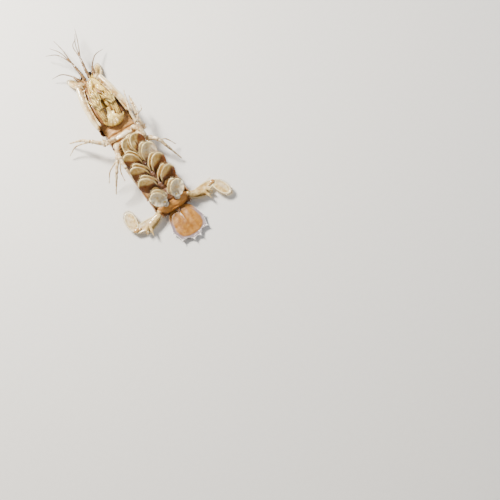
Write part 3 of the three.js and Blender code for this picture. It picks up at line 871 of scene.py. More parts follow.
@dataclass
class Leaf:
    """A leaf of a swimming leg, tail fan or feeler, from its root along its own +Y."""

    long: float
    wide: float
    thick: float
    dish: float = 0.08
    point: float = 0.15
    rim: float = 0.5
    ruffle: float = 0.0
    folds: int = 7
    curl: float = 0.0
    around: int = 56
    rings: int = 16

    def outline(self, angle: float, reach: float) -> Vector:
        """A point of its middle surface."""
        ahead = math.sin(angle) * reach
        half = (self.wide / 2) * (1 - self.point * ahead)
        x = math.cos(angle) * reach * half
        y = (self.long / 2) * (1 + ahead)
        z = self.dish * self.wide * (reach * math.cos(angle)) ** 2
        z += self.curl * self.long * (y / self.long) ** 2
        z += self.ruffle * math.sin(angle * self.folds + 0.7) * reach ** 4
        return Vector((x, y, z))

    def point_at(self, angle: float, reach: float, face: float) -> Vector:
        """A point of its skin: thin inside, with a thicker rolled rim."""
        spread = reach ** 0.85
        rolled = 0.62 + self.rim * hump(spread - 0.93, 0.07)
        body = math.copysign(min(1.0, abs(face) ** 0.5), face)
        middle = self.outline(angle, spread)
        return middle + Vector((0, 0, body * self.thick / 2 * rolled))

    def add_to(self, clay: Clay, place: Matrix, paint: LensPaint | None = None) -> None:
        """Models the leaf into a piece, with its root at a place, and paints it."""
        clay.lens(lambda a, r, f: place @ self.point_at(a, r, f), self.around, self.rings,
                  lambda a, r, f: {"rim": r ** 0.85} | (paint(a, r, f) if paint else {}))


def turned(x: float, y: float, z: float, order: str = "XYZ") -> Matrix:
    """Rotation by three angles, multiplied in the given order."""
    angles = {"X": x, "Y": y, "Z": z}
    whole = Matrix.Identity(4)
    for axis in order:
        whole = whole @ Matrix.Rotation(angles[axis], 4, axis)
    return whole


def placed(spot: Vector, x: float, y: float, z: float, order: str = "XYZ") -> Matrix:
    """Place of a part: where its root goes and its turn by three angles."""
    return Matrix.Translation(spot) @ turned(x, y, z, order)


@dataclass
class PhotoCamera:
    """The camera of the photograph: nearly overhead, with the animal in the upper left."""

    image: float = 500.0
    focal: float = 542.0
    sensor: float = 36.0
    heading: float = 147.13
    dip: float = 77.0
    roll: float = -1.8
    height: float = 385.0
    pixel: Pair = (92.0, 74.0)
    seen: Triple = (-5.0, 0.0, 10.0)

    def build(self) -> None:
        """Makes the camera, so that the seen point of the body falls on its pixel."""
        turn, down = math.radians(self.heading), math.radians(self.dip)
        flat = Vector((-math.sin(turn), math.cos(turn), 0))
        ahead = flat * math.cos(down) - Vector((0, 0, math.sin(down)))
        right = ahead.cross(Vector((0, 0, 1))).normalized()
        up = right.cross(ahead)
        roll = Matrix.Rotation(math.radians(-self.roll), 3, ahead)
        right, up = roll @ right, roll @ up
        x = (self.pixel[0] - self.image / 2) / self.focal
        y = (self.image / 2 - self.pixel[1]) / self.focal
        ray = ahead + right * x + up * y
        target = AXIS.at(*self.seen) + OFFSET
        place = target - ray * (self.height / -ray.z)
        data = bpy.data.cameras.new("camera")
        data.sensor_width = self.sensor
        data.lens = self.sensor * self.focal / self.image
        data.clip_start, data.clip_end = 0.01, 20
        camera = bpy.data.objects.new("camera", data)
        bpy.context.scene.collection.objects.link(camera)
        axes = Matrix((right, up, -ahead)).transposed().to_4x4()
        camera.matrix_world = Matrix.Translation(place * MM) @ axes
        bpy.context.scene.camera = camera


@dataclass
class Studio:
    """A plain pale floor and soft light."""

    reach: float = 3.0
    floor: Tint = Tint(232, 230, 226)
    sky: Tint = Tint(236, 238, 242)
    sky_strength: float = 0.24
    lamps: tuple[tuple[str, Triple, float, float, Tint], ...] = (
        ("key", (0.14, -0.5, 0.58), 0.2, 23.5, Tint(255, 249, 238)),
        ("fill", (-0.6, 0.2, 0.4), 0.6, 2.2, Tint(238, 244, 255)),
        ("rear", (0.5, 0.55, 0.35), 0.4, 1.2, Tint(255, 246, 232)))

    def _lamp(self, name: str, place: Vector, size: float, watts: float, tint: Tint) -> None:
        """One square soft lamp aimed at the middle of the body."""
        data = bpy.data.lights.new(name, "AREA")
        data.size = size
        data.energy = watts
        data.color = tint.linear[:3]
        lamp = bpy.data.objects.new(name, data)
        bpy.context.scene.collection.objects.link(lamp)
        lamp.location = place
        lamp.rotation_euler = (Vector((0, 0, 0.01)) - place).to_track_quat("-Z", "Y").to_euler()

    def build(self) -> None:
        """Makes the floor, the lamps and the sky."""
        grid = bmesh.new()
        bmesh.ops.create_grid(grid, x_segments=4, y_segments=4, size=self.reach)
        mesh = bpy.data.meshes.new("floor")
        grid.to_mesh(mesh)
        grid.free()
        floor = bpy.data.objects.new("floor", mesh)
        bpy.context.scene.collection.objects.link(floor)
        graph = Graph("floor")
        grain = graph.speckle(300, 3).step(0.3, 0.7)
        tone = graph.blend(grain * 0.2, self.floor, Tint(222, 220, 216))
        surface = graph.value("ShaderNodeBsdfPrincipled", {}, {"Base Color": tone, "Roughness": 0.7})
        graph.node("ShaderNodeOutputMaterial", {}, {"Surface": surface})
        mesh.materials.append(graph.material)
        for name, place, size, watts, tint in self.lamps:
            self._lamp(name, Vector(place), size, watts, tint)
        world = bpy.data.worlds.new("sky")
        world.use_nodes = True
        sky = world.node_tree.nodes["Background"]
        sky.inputs["Color"].default_value = self.sky.linear
        sky.inputs["Strength"].default_value = self.sky_strength
        bpy.context.scene.world = world


def report_size() -> None:
    """Brings the scene's placements up to date."""
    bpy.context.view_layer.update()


@dataclass
class Trunk:
    """Body armour: the carapace, the rings behind it and the soft underside that fills them."""

    carapace_front: float = 8.3
    carapace_rear: float = 48.0
    carapace_halves: Pair = (8.6, 15.2)
    thorax_front: float = 48.3
    thorax_lengths: Row = (5.7, 6.1, 6.0, 5.9)
    thorax_halves: Row = (12.4, 13.2, 13.7, 13.8)
    thorax_edge: float = 7.0
    abdomen_front: float = 72.0
    abdomen_lengths: Row = (9.7, 10.1, 10.3, 10.3, 10.2, 6.1)
    abdomen_halves: Row = (14.2, 14.5, 14.8, 15.0, 14.9, 13.8)
    abdomen_edge: float = 8.0
    wall: float = 0.5
    lap: float = 0.9
    keels: Row = (0.13, 0.36, 0.6, 0.86)
    keel_height: float = 0.45
    crown: float = 3.2
    back_height: float = 0.9
    round: float = 0.82

    def carapace_half(self, t: float) -> float:
        """Half width of the carapace from its front to its rear."""
        return mix(*self.carapace_halves, math.sin(t * math.pi / 2) ** 0.9)

    def ring_point(self, y: float, u: float, half: float, edge: float, inset: float,
                   wrap: float = 0.16) -> Vector:
        """A point of a plate's outer face.

        Args:
            y: Station.
            u: -1 to 1 from one free edge, under the back, to the other.
            half: Half width of the plate.
            edge: Height of its widest line.
            inset: How far it lies inside the widest shape.
            wrap: How far the free edges turn in over the belly, as an angle.

        Returns:
            The point.
        """
        angle = math.pi + u * (math.pi / 2 + wrap)
        lift = math.cos(angle)
        side = power(math.sin(angle), self.round)
        x = side * (half - inset)
        depth = edge - inset if lift < 0 else 2.2
        return at(x, y, edge + power(lift, self.round) * depth)

    def keel(self, u: float) -> float:
        """Height of the lengthwise keels at u, from 0 to 1."""
        return sum(hump(abs(u) - place, 0.016) for place in self.keels)

    def plate(self, name: str, front: float, rear: float, half: float, half_rear: float, edge: float,
              spines: float, node: str) -> None:
        """One ring's back plate, which slides under the one ahead and laps over the one behind.

        Args:
            name: The piece's name.
            front: Station of its front edge.
            rear: Station of its rear edge.
            half: Half width in front.
            half_rear: Half width at the rear.
            edge: Height of its widest line.
            spines: Length of the spines at the ends of its keels.
            node: The frame's node that it stands for.
        """
        clay = Clay()

        def place(u: float, t: float) -> Vector:
            """A point of the outer face."""
            y = mix(front - 0.5, rear + self.lap * 0.7, t)
            y += 0.7 * hump(abs(u) - 0.97, 0.1) * ease((t - 0.5) * 2)
            tuck = 1.1 * (1 - ease(t / 0.3))
            rim = 0.16 * hump(t - 0.95, 0.05)
            ridge = self.keel_height * self.keel(u) * ease(t / 0.35)
            inset = self.keel_height + tuck - rim - ridge
            return self.ring_point(y, u, mix(half, half_rear, t), edge, inset)

        clay.sheet(place, 150, 16, self.wall,
                   lambda u, t: {"rim": self.keel(u) * ease(t / 0.3), "tone": abs(u)})
        for side in (-1, 1):
            for keel in self.keels:
                root = place(side * keel, 0.93)
                tip = place(side * keel, 1.0) + Vector((0, spines, 0))
                if spines > 0:
                    clay.spike(root, tip, 0.42)
        clay.finish(name, Slot.BACK, [node])

    def carapace(self) -> None:
        """The big shield over the head and jaws, with keels, grooves and front spines."""
        clay = Clay()

        def place(u: float, t: float) -> Vector:
            """A point of the outer face."""
            y = mix(self.carapace_front, self.carapace_rear + 0.5, t)
            y -= 2.2 * hump(u, 0.4) * ease((t - 0.7) / 0.3)
            edge = mix(5, 9, min(1.0, t * 1.5))
            ridge = hump(u, 0.014) + hump(abs(u) - 0.3, 0.016) * ease((t - 0.1) * 4)
            ridge += hump(abs(u) - 0.72, 0.018)
            groove = hump(abs(u) - mix(0.34, 0.5, t), 0.03) * ease(t * 3)
            inset = 0.45 - 0.45 * min(1.0, ridge) + 0.25 * groove - 0.2 * hump(t - 0.98, 0.02)
            return self.ring_point(y, u, self.carapace_half(t), edge, inset, 0.1)

        clay.sheet(place, 150, 60, 0.6, lambda u, t: {
            "rim": min(1.0, hump(u, 0.014) + hump(abs(u) - 0.3, 0.016) + hump(abs(u) - 1, 0.03)),
            "tone": abs(u)})
        for side in (-1, 1):
            corner = place(side * 0.97, 0.0)
            clay.spike(corner + Vector((0, 1.2, 0)), corner + Vector((side * 0.6, -3.2, 0.4)), 0.75)
        clay.finish("carapace_shell", Slot.BACK, ["carapace"])

    def rostrum(self) -> None:
        """The small plate jointed to the front of the carapace."""
        clay = Clay()
        place = placed(at(0, 8.0, 1.5), 0, 0, math.pi)
        Leaf(6, 5.6, 1.2, dish=0.1, point=0.3, rim=0.3).add_to(clay, place)
        clay.finish("rostral_shell", Slot.BACK, ["rostral_plate"])

    def rings(self) -> list[tuple[str, float, float, float, float, float]]:
        """Node, front, rear, half widths and edge height of each ring behind the carapace."""
        found = []
        front = self.thorax_front
        for number, (length, half) in enumerate(zip(self.thorax_lengths, self.thorax_halves), 5):
            found.append((f"thoracic_somite_{number}", front, front + length, half, half, self.thorax_edge))
            front += length
        front = self.abdomen_front
        for number, (length, half) in enumerate(zip(self.abdomen_lengths, self.abdomen_halves), 1):
            last = number == len(self.abdomen_lengths)
            rear, edge = (half - 1.6, self.abdomen_edge - 1.6) if last else (half, self.abdomen_edge)
            found.append((f"abdominal_somite_{number}", front, front + length, half, rear, edge))
            front += length
        return found

    def plates(self) -> None:
        """The back plates of all the rings."""
        for node, front, rear, half, half_rear, edge in self.rings():
            number = int(node[-1])
            spines = {4: 0.7, 5: 1.1, 6: 1.7}.get(number, 0.0) if node.startswith("abdominal") else 0.0
            self.plate(f"{node}_plate", front, rear, half, half_rear, edge, spines, node)

    def skin(self) -> None:
        """The soft underside, one skin from the head to the root of the tail."""
        rings = self.rings()
        folds = [self.carapace_rear] + [ring[2] for ring in rings]
        first, last = 6.4, folds[-1] + 0.6
        knots = [(first, 6.2, 6.0), (14.0, 8.2, 7.4), (self.carapace_rear - 6, 13.0, 9.4)]
        knots += [((front + rear) / 2, (half + half_rear) / 2 - 0.9, edge + 1.9)
                  for _, front, rear, half, half_rear, edge in rings]
        knots.append((last, 9.4, 6.6))
        stations, halves, tops = (np.array(column) for column in zip(*knots))

        def crease(x: float, y: float) -> float:
            """How deep the nearest fold is."""
            wavy = y + 1.1 * noise.noise(Vector((x * 0.14, y * 0.05, 3)))
            deep = 0.15 if y < self.thorax_front + 3 else 1.0
            return deep * max(hump(wavy - fold, 0.7) for fold in folds)

        def trench(side: float, y: float) -> float:
            """How deep the skin sinks beside the jaws."""
            return ease((abs(side) - 0.6) / 0.35) * ease((self.thorax_front + 1 - y) / 6)

        def place(t: float, angle: float) -> Vector:
            """A point of the outer face."""
            y = mix(first, last, t)
            cap = math.sqrt(max(0.02, 1 - max(0.0, 1 - min(t, 1 - t) / 0.02) ** 2))
            half = float(np.interp(y, stations, halves)) * cap
            top = float(np.interp(y, stations, tops))
            lift = math.cos(angle)
            side = power(math.sin(angle), 0.78)
            fold = crease(side * half, y)
            dip = 0.9 * fold + 0.6 * hump(side, 0.1) - 0.5 * hump(abs(side) - 0.42, 0.26) * (1 - fold)
            dip += 0.35 * noise.noise(Vector((side * 1.6, y * 0.75, 7))) + 0.7 * trench(side, y)
            shoulder = top - self.crown
            z = shoulder + (self.crown - dip) * power(lift, 0.55)
            if lift <= 0:
                z = mix(shoulder, self.back_height, (-lift) ** 0.7)
            return at(side * half * (1 - 0.05 * fold), y, z)

        def paint(t: float, angle: float) -> Numbers:
            """Painted numbers of a point."""
            y = mix(first, last, t)
            side = power(math.sin(angle), 0.78)
            half = float(np.interp(y, stations, halves))
            tail = ease((y - rings[-1][1] + 1.5) / 2)
            swim = ease((y - self.abdomen_front) / 4) * (1 - tail)
            # Painted shade: darker in the folds, in the trench beside the jaws, under the swimming legs and
            # towards the sides.
            deep = 0.5 * crease(side * half, y) * (1 - 0.7 * tail) + 0.25 * trench(side, y)
            deep += swim * (0.35 + 0.5 * hump(side, 0.3)) + 0.25 * abs(side) ** 4 * (1 - tail)
            return {"tone": min(1.0, deep), "rim": tail,
                    "white": hump(y - self.thorax_front + 5, 11) * (1 - side ** 4)}

        clay = Clay()
        clay.tube(place, even_steps(360, 0.05), 96, paint)
        clay.wrinkle(1.6, 0.2)
        clay.wrinkle(0.7, 0.07)
        clay.finish("soft_skin", Slot.BELLY, ["head_front"] + [ring[0] for ring in rings])

    def build(self) -> None:
        """Makes the armour and the skin."""
        self.carapace()
        self.rostrum()
        self.plates()
        self.skin()


@dataclass
class Coat:
    """Bristles: thin tapered spikes joined in one mesh, each with its root's place on an unwrap."""

    PATCH = 0.003
    SIDES = 3
    tiles: int = 8
    roots: list[Vector] = field(default_factory=list)
    tips: list[Vector] = field(default_factory=list)
    widths: list[float] = field(default_factory=list)
    seats: list[Pair] = field(default_factory=list)
    tile: int = 0

    def next_tile(self) -> None:
        """The bristles that follow grow from another leaf or limb, with its own part of the unwrap."""
        self.tile += 1

    def add(self, root: Vector, tip: Vector, width: float, seat: Pair) -> None:
        """Adds a bristle.

        Args:
            root: Where it grows from.
            tip: Its point.
            width: Half thickness at the root.
            seat: Its root's place on what it grows from, each from 0 to 1.
        """
        column, row = self.tile % self.tiles, self.tile // self.tiles
        margin = 0.06
        inner = [margin + (1 - 2 * margin) * min(1.0, max(0.0, value)) for value in seat]
        self.roots.append(root)
        self.tips.append(tip)
        self.widths.append(width)
        self.seats.append(((column + inner[0]) / self.tiles, (row + inner[1]) / self.tiles))

    def fringe(self, leaf: Leaf, place: Matrix, count: int, long: float, arc: Pair,
               rng: Random, width: float = 0.05, lean: float = 0.35) -> None:
        """Bristles round part of a leaf's rim.

        Args:
            leaf: The leaf.
            place: Where its root lies.
            count: How many bristles.
            long: Length of the longest, in the middle of the arc.
            arc: First and last angle round the rim.
            rng: Source of the small differences.
            width: Half thickness at the root.
            lean: How far they lie towards the leaf's tip.
        """
        self.next_tile()
        for i in range(count):
            share = (i + rng.random()) / count
            angle = mix(*arc, share)
            root = leaf.outline(angle, 0.985)
            out = (root - leaf.outline(angle, 0.86)).normalized()
            out = (out + Vector((0, lean, 0)) + Vector(rng.normal(0, 0.1, 3))).normalized()
            length = long * (0.45 + 0.55 * math.sin(math.pi * share) ** 0.5) * rng.uniform(0.8, 1.1)
            seat = (0.5 + root.x / leaf.wide, root.y / leaf.long)
            self.add(place @ root, place @ (root + out * length), width, seat)

    def tuft(self, root: Vector, ahead: Vector, count: int, long: float, spread: float,
             rng: Random, width: float = 0.045) -> None:
        """A brush of bristles at one place, such as the end of a leg."""
        self.next_tile()
        for _ in range(count):
            start = root + Vector(rng.normal(0, 0.22, 3)) - ahead * rng.uniform(0.0, 1.6)
            heading = (ahead + Vector(rng.normal(0, spread, 3))).normalized()
            seat = (float(rng.random()), float(rng.random()))
            self.add(start, start + heading * long * rng.uniform(0.6, 1.1), width, seat)

    def build(self, name: str, slot: Slot, nodes: Sequence[str]) -> None:
        """Joins the bristles in one piece.

        Args:
            name: The piece's name.
            slot: The record's slot of what it grows from.
            nodes: The frame's nodes that it grows from.
        """
        roots, tips = np.array(self.roots), np.array(self.tips)
        ahead = tips - roots
        long = np.linalg.norm(ahead, axis=1, keepdims=True)
        ahead = ahead / long
        across = np.cross(ahead, (0.31, 0.27, 0.91))
        across /= np.linalg.norm(across, axis=1, keepdims=True)
        over = np.cross(ahead, across)
        width = np.array(self.widths)[:, None]
        count, corners = len(roots), 2 * self.SIDES + 1
        points = np.zeros((count, corners, 3))
        share = np.zeros((count, corners))
        bend = over * long * 0.08
        for side in range(self.SIDES):
            turn = 2 * math.pi * side / self.SIDES
            ring = (across * math.cos(turn) + over * math.sin(turn)) * width
            points[:, side] = roots + ring
            points[:, self.SIDES + side] = roots + ahead * long * 0.55 + bend + ring * 0.65
            share[:, self.SIDES + side] = 0.55
        points[:, -1] = tips
        share[:, -1] = 1.0
        points = (points + np.array(OFFSET)) * MM
        points[..., 2] = np.maximum(points[..., 2], 0.0)
        faces = []
        for side in range(self.SIDES):
            after = (side + 1) % self.SIDES
            faces.append((side, after, self.SIDES + after, self.SIDES + side))
            faces.append((self.SIDES + side, self.SIDES + after, 2 * self.SIDES))
        faces.append(tuple(reversed(range(self.SIDES))))
        every = [tuple(corner + corners * i for corner in face) for i in range(count) for face in faces]
        mesh = bpy.data.meshes.new(name)
        mesh.from_pydata(points.reshape(-1, 3).tolist(), [], every)
        values = mesh.attributes.new("along", "FLOAT", "POINT")
        values.data.foreach_set("value", share.reshape(-1).astype(np.float32))
        corner_of = np.zeros(len(mesh.loops), dtype=np.int32)
        mesh.loops.foreach_get("vertex_index", corner_of)
        seats = np.array(self.seats)[corner_of // corners]
        local = corner_of % corners
        patch = np.stack([(local % self.SIDES) / self.SIDES - 0.33, share.reshape(-1)[corner_of] - 0.5], 1)
        chart = mesh.uv_layers.new(name="OFBake")
        chart.data.foreach_set("uv", (seats + patch * self.PATCH).reshape(-1).astype(np.float32))
        set_in_frame(mesh, name, slot, material_of(BRISTLES), nodes)


@dataclass
class Claws:
    """The pair of big raking claws, folded along the jaws."""

    front: float = 7.2
    long: float = 39.4
    tall: float = 3.6
    thick: float = 2.8
    stations: Row = (0, 0.3, 0.7, 1)
    sides: dict[Side, Row] = per_side((9.6, 12.2, 13.9, 13.8), (8.2, 11, 14, 15))
    height: float = 14.2
    teeth: int = 6
    comb: int = 52

    def middle(self, side: Side) -> list[Vector]:
        """Points of the hand's middle line."""
        return [at(side.sign * x, self.front + self.long * t, self.height - 1.2 * t)
                for x, t in zip(self.sides[side], self.stations)]

    def hand(self, side: Side) -> None:
        """Wrist and long smooth hand, with a groove and a comb along its inner edge.

        Args:
            side: The animal's side.
        """
        sign = side.sign
        palm = Limb(self.middle(side),
                    [3.1, self.tall, self.tall * 0.82, 1.9], flat=self.thick / self.tall,
                    sides=48, steps=110, square=0.9, round_ends=0.06)
        rim = -sign * 1.05

        def surface(t: float, angle: float) -> Vector:
            """A point of the skin, with its grooves and ridges."""
            point = palm.surface(t, angle)
            centre = palm.route.point(t)
            off = wrapped(angle - rim)
            cut = 0.16 * hump(off + sign * 0.34, 0.13) * ease((0.97 - t) * 8) * ease((t - 0.05) * 8)
            lip = 0.05 * hump(off, 0.12)
            crease = 0.06 * hump(wrapped(angle - sign * 0.9), 0.1) * ease((0.8 - t) * 5)
            return centre + (point - centre) * (1 - cut + lip - crease)

        def paint(t: float, angle: float) -> Numbers:
            """Painted numbers of a point."""
            off = wrapped(angle - rim)
            # Painted shade in the groove and, streaked, over the inner side, and a painted highlight along
            # the outer top; the ends are stained.
            ends = hump(t, 0.04) * 0.3 + hump(t - 1, 0.03) * 0.3
            inward = ease((-sign * math.sin(angle) - 0.1) / 0.7)
            streaks = inward * (0.5 + noise.noise(Vector((t * 3, angle * 9, 2))))
            return {"tone": min(1.0, 0.6 * hump(off + sign * 0.34, 0.12) + ends + 0.75 * max(0.0, streaks)),
                    "white": ease((sign * math.sin(angle) + 0.1) / 0.6) * ease(math.cos(angle) + 0.6)}

        clay = Clay()
        clay.tube(surface, even_steps(palm.steps, 0.7), palm.sides, paint)
        outer = self.sides[side][0]
        joints = path(sign, (5.6, 9.2, 12.4), (mix(5.6, outer, 0.45), 6.8, 13), (outer, 8.4, 14))
        wrist = Limb(joints, [2.1, 2.9, 2.7], sides=28, steps=30, square=0.85, round_ends=0.2)
        wrist.add_to(clay)
        for spread in (-0.5, 0.5):
            root = at(sign * (outer - 0.8), 6.0, 14.6 + spread)
            clay.spike(root, root + Vector((sign * (0.9 + spread), -1.7, 1.2)), 0.5, tone=0.2)
        clay.wrinkle(3.2, 0.14)
        for i in range(self.comb):
            t = mix(0.1, 0.93, i / (self.comb - 1))
            root = surface(t, rim)
            away = (root - palm.route.point(t)).normalized()
            clay.spike(root - away * 0.15, root + away * (0.42 + 0.1 * (i % 3)), 0.2, 6, 0.25)
        clay.finish(side.named("claw_hand_shell"), Slot.IVORY, [side.named("claw_hand")])

    def merus(self, side: Side) -> None:
        """The stout inner joint, hollowed along its outer face where the hand folds in.

        Args:
            side: The animal's side.
        """
        sign = side.sign
        limb = Limb(path(sign, (9, 44, 11.6), (8.4, 31, 12.6), (6.4, 16, 12.2), (5.6, 10.6, 11.4)),
                    [2.0, 3.2, 3.2, 2.2], flat=0.78, sides=44, steps=90, square=0.8, round_ends=0.07)

        def surface(t: float, angle: float) -> Vector:
            """A point of the skin, with its grooves and ridges."""
            point = limb.surface(t, angle)
            centre = limb.route.point(t)
            outer = wrapped(angle + sign * 0.85)
            cut = 0.2 * hump(outer, 0.4) * ease(t * 5) * ease((1 - t) * 6)
            ridge = 0.09 * hump(wrapped(angle + sign * 0.1), 0.16)
            return centre + (point - centre) * (1 - cut + ridge)

        def paint(t: float, angle: float) -> Numbers:
            """Painted numbers of a point."""
            outer = wrapped(angle + sign * 0.85)
            streaks = 0.55 * max(0.0, noise.noise(Vector((t * 4, angle * 4.5, sign))) + 0.1)
            # Painted shade in the hollow of the outer face, random dark streaks, and a painted highlight
            # along the top.
            return {"tone": min(1.0, 0.75 * hump(outer, 0.42) + streaks * 1.6),
                    "white": 0.6 * hump(wrapped(angle - sign * 0.4), 0.3)}

        clay = Clay()
        clay.tube(surface, even_steps(limb.steps), limb.sides, paint)
        clay.wrinkle(2.5, 0.18)
        clay.finish(side.named("claw_merus_shell"), Slot.MERUS, [side.named("claw_merus")])

    def finger(self, side: Side) -> None:
        """The raking finger with its curved teeth, closed against the hand.

        Args:
            side: The animal's side.
        """
        sign = side.sign
        spots = [(x, max(0.08, t)) for x, t in zip(self.sides[side], self.stations)]
        joints = [at(sign * (x - 3 + 0.5 * t), self.front + 1.2 + (self.long - 2.4) * t,
                     self.height + 2.7 - 2.1 * t) for x, t in reversed(spots)]
        blade = Limb(joints, [1.2, 1.05, 0.8, 0.4], flat=0.75, sides=20, steps=60, square=0.85, stain=0.55)
        clay = Clay()
        blade.add_to(clay)
        for i in range(self.teeth):
            root = blade.route.point(mix(0.28, 0.96, i / (self.teeth - 1)))
            bend = root + Vector((sign * 0.35, -0.9, 1.1))
            tip = root + Vector((sign * 0.3, -2.4, 1.7))
            Limb([root, bend, tip], [0.7, 0.45, 0.08], sides=12, steps=16, flat=0.8).add_to(clay)
        clay.finish(side.named("claw_finger_shell"), Slot.IVORY, [side.named("claw_finger")])

    def build(self) -> None:
        """Makes both claws."""
        for side in Side:
            self.hand(side)
            self.merus(side)
            self.finger(side)


@dataclass
class Head:
    """Eyes and feelers in front of the jaws."""

    eye_side: float = 4.5
    cornea_size: Triple = (3.7, 2.2, 2.3)
    hairs: int = 36
    scale: Leaf = field(default_factory=lambda: Leaf(15, 5.8, 0.8, point=0.05, rim=0.9, around=64))

    def brow(self) -> None:
        """The plate that carries the eyes and feelers."""
        clay = Clay()
        Limb([at(0, 9, 5.2), at(0, 4.5, 5.4), at(0, 0.4, 5)], [2.7, 3, 2], flat=1.7, sides=32, steps=30,
             square=0.8, round_ends=0.2).add_to(clay)
        for sign in (-1, 1):
            clay.ball(at(sign * 3.3, 2.6, 7.2), (1.5, 2.0, 1.2), 0.1)
        clay.wrinkle(1.2, 0.18)
        clay.finish("brow_plate", Slot.BELLY, ["head_front"])

    def eye(self, side: Side) -> None:
        """Stalk and two-lobed cornea.

        Args:
            side: The animal's side.
        """
        sign = side.sign
        stalk = Clay()
        Limb(path(sign, (2.1, 1.6, 4.2), (3, -0.8, 3.9), (self.eye_side, -3.2, 3.8)),
             [1.2, 1.4, 1.9], sides=28, steps=26, round_ends=0.1).add_to(stalk)
        stalk.finish(side.named("eyestalk_shell"), Slot.BELLY, [side.named("eyestalk")])
        wide, deep, tall = self.cornea_size
        place = placed(at(sign * (self.eye_side + 0.6), -4.6, 3.8), 0, 0, sign * 0.45)

        def lobe(angle: float, reach: float, face: float) -> Vector:
            """A point of the cornea."""
            x = math.cos(angle) * reach
            waist = 1 - 0.24 * hump(x, 0.33)
            return place @ Vector((x * wide, math.sin(angle) * reach * deep * waist, face * tall * waist))

        cornea = Clay()
        cornea.lens(lobe, 48, 28, lambda a, r, f: {"tone": hump(math.cos(a) * r, 0.09)})
        cornea.finish(side.named("cornea_glass"), Slot.CORNEA, [side.named("cornea")])

    def antennule(self, side: Side, coat: Coat, rng: Random) -> None:
        """Three joints of stalk, then three whips.

        Args:
            side: The animal's side.
            coat: The bristles.
            rng: Source of the small differences.
        """
        sign = side.sign
        stalk = path(sign, (1.9, 0.2, 7.4), (2.4, -6, 8.6), (3.2, -12, 9.4), (3.9, -17.5, 10))
        clay = Clay()
        Limb(stalk, [1.3, 1.15, 1.0, 0.8], pinch=0.35, swell=0.25, steps=70, sides=18).add_to(clay)
        end = stalk[-1]
        for lane in (-1, 0, 1):
            middle = end + Vector((sign * 3 + lane * 2.6, -12, 1.2 - lane))
            tip = end + Vector((sign * (8 + lane * 2) + lane * 4, -24 + lane * 3, -3.4 - lane * 1.5))
            whip = Limb([end, middle, tip], [0.52, 0.36, 0.16], steps=90, sides=8, round_ends=0.01)
            whip.add_to(clay)
            coat.next_tile()
            for i in range(self.hairs):
                t = mix(0.08, 0.97, i / (self.hairs - 1))
                point, ahead, across, _ = whip.route.frame(t)
                aside = across * rng.choice((-1, 1))
                out = (ahead * 1.3 + aside + Vector(rng.normal(0, 0.3, 3))).normalized()
                coat.add(point, point + out * rng.uniform(0.7, 1.3), 0.035, (0.5, t))
        clay.finish(side.named("antennule_stalk"), Slot.FEELER, [side.named("antennule")])

    def antenna(self, side: Side) -> None:
        """The second feeler, with its jointed root and one whip."""
        sign = side.sign
        clay = Clay()
        root = path(sign, (5.6, 4, 8.6), (7, -1.5, 9.6), (8.6, -6.5, 9.4))
        Limb(root, [1.7, 1.35, 0.9], pinch=0.35, swell=0.25, steps=44, sides=18, round_ends=0.08).add_to(clay)
        whip = [root[2] + Vector((-sign * 0.3, 0.9, 0)),
                *path(sign, (8.9, -6.9, 9.4), (15.5, -15, 7.4), (24, -19, 3.2))]
        Limb(whip, [0.62, 0.6, 0.4, 0.16], steps=90, sides=8, round_ends=0.01).add_to(clay)
        clay.finish(side.named("antenna_whip"), Slot.FEELER, [side.named("antenna")])

    def scale_leaf(self, side: Side, coat: Coat, rng: Random) -> None:
        """The paddle beside the second feeler, fringed all round."""
        sign = side.sign
        place = placed(at(sign * 7.8, 2.6, 5.2), 0.12, sign * 0.25, math.pi + sign * 0.42)
        clay = Clay()
        self.scale.add_to(clay, place)
        Limb([place @ Vector((0, 0.5, 0.1)), place @ Vector((0, 6, 0.55)), place @ Vector((0, 13.4, 0.1))],
             [0.5, 0.4, 0.15], sides=10, steps=20).add_to(clay)
        clay.finish(side.named("antennal_scale_leaf"), Slot.PADDLE, [side.named("antennal_scale")])
        coat.fringe(self.scale, place, 220, 2.0, (-0.9, math.pi + 0.9), rng)

    def build(self) -> None:
        """Makes the head's front."""
        rng = np.random.default_rng(11)
        coat = Coat()
        self.brow()
        for side in Side:
            self.eye(side)
            self.antennule(side, coat, rng)
            self.antenna(side)
            self.scale_leaf(side, coat, rng)
        nodes = [side.named(part) for side in Side for part in ("antennal_scale", "antennule")]
        coat.build("bristles_head", Slot.PADDLE, nodes)


@dataclass(frozen=True)
class HandPlan:
    """How one of the small limbs over the jaws runs, and how its hand lies."""

    number: int
    root: Spot
    elbow: Spot
    wrist: Spot
    turn: float
    wide: float


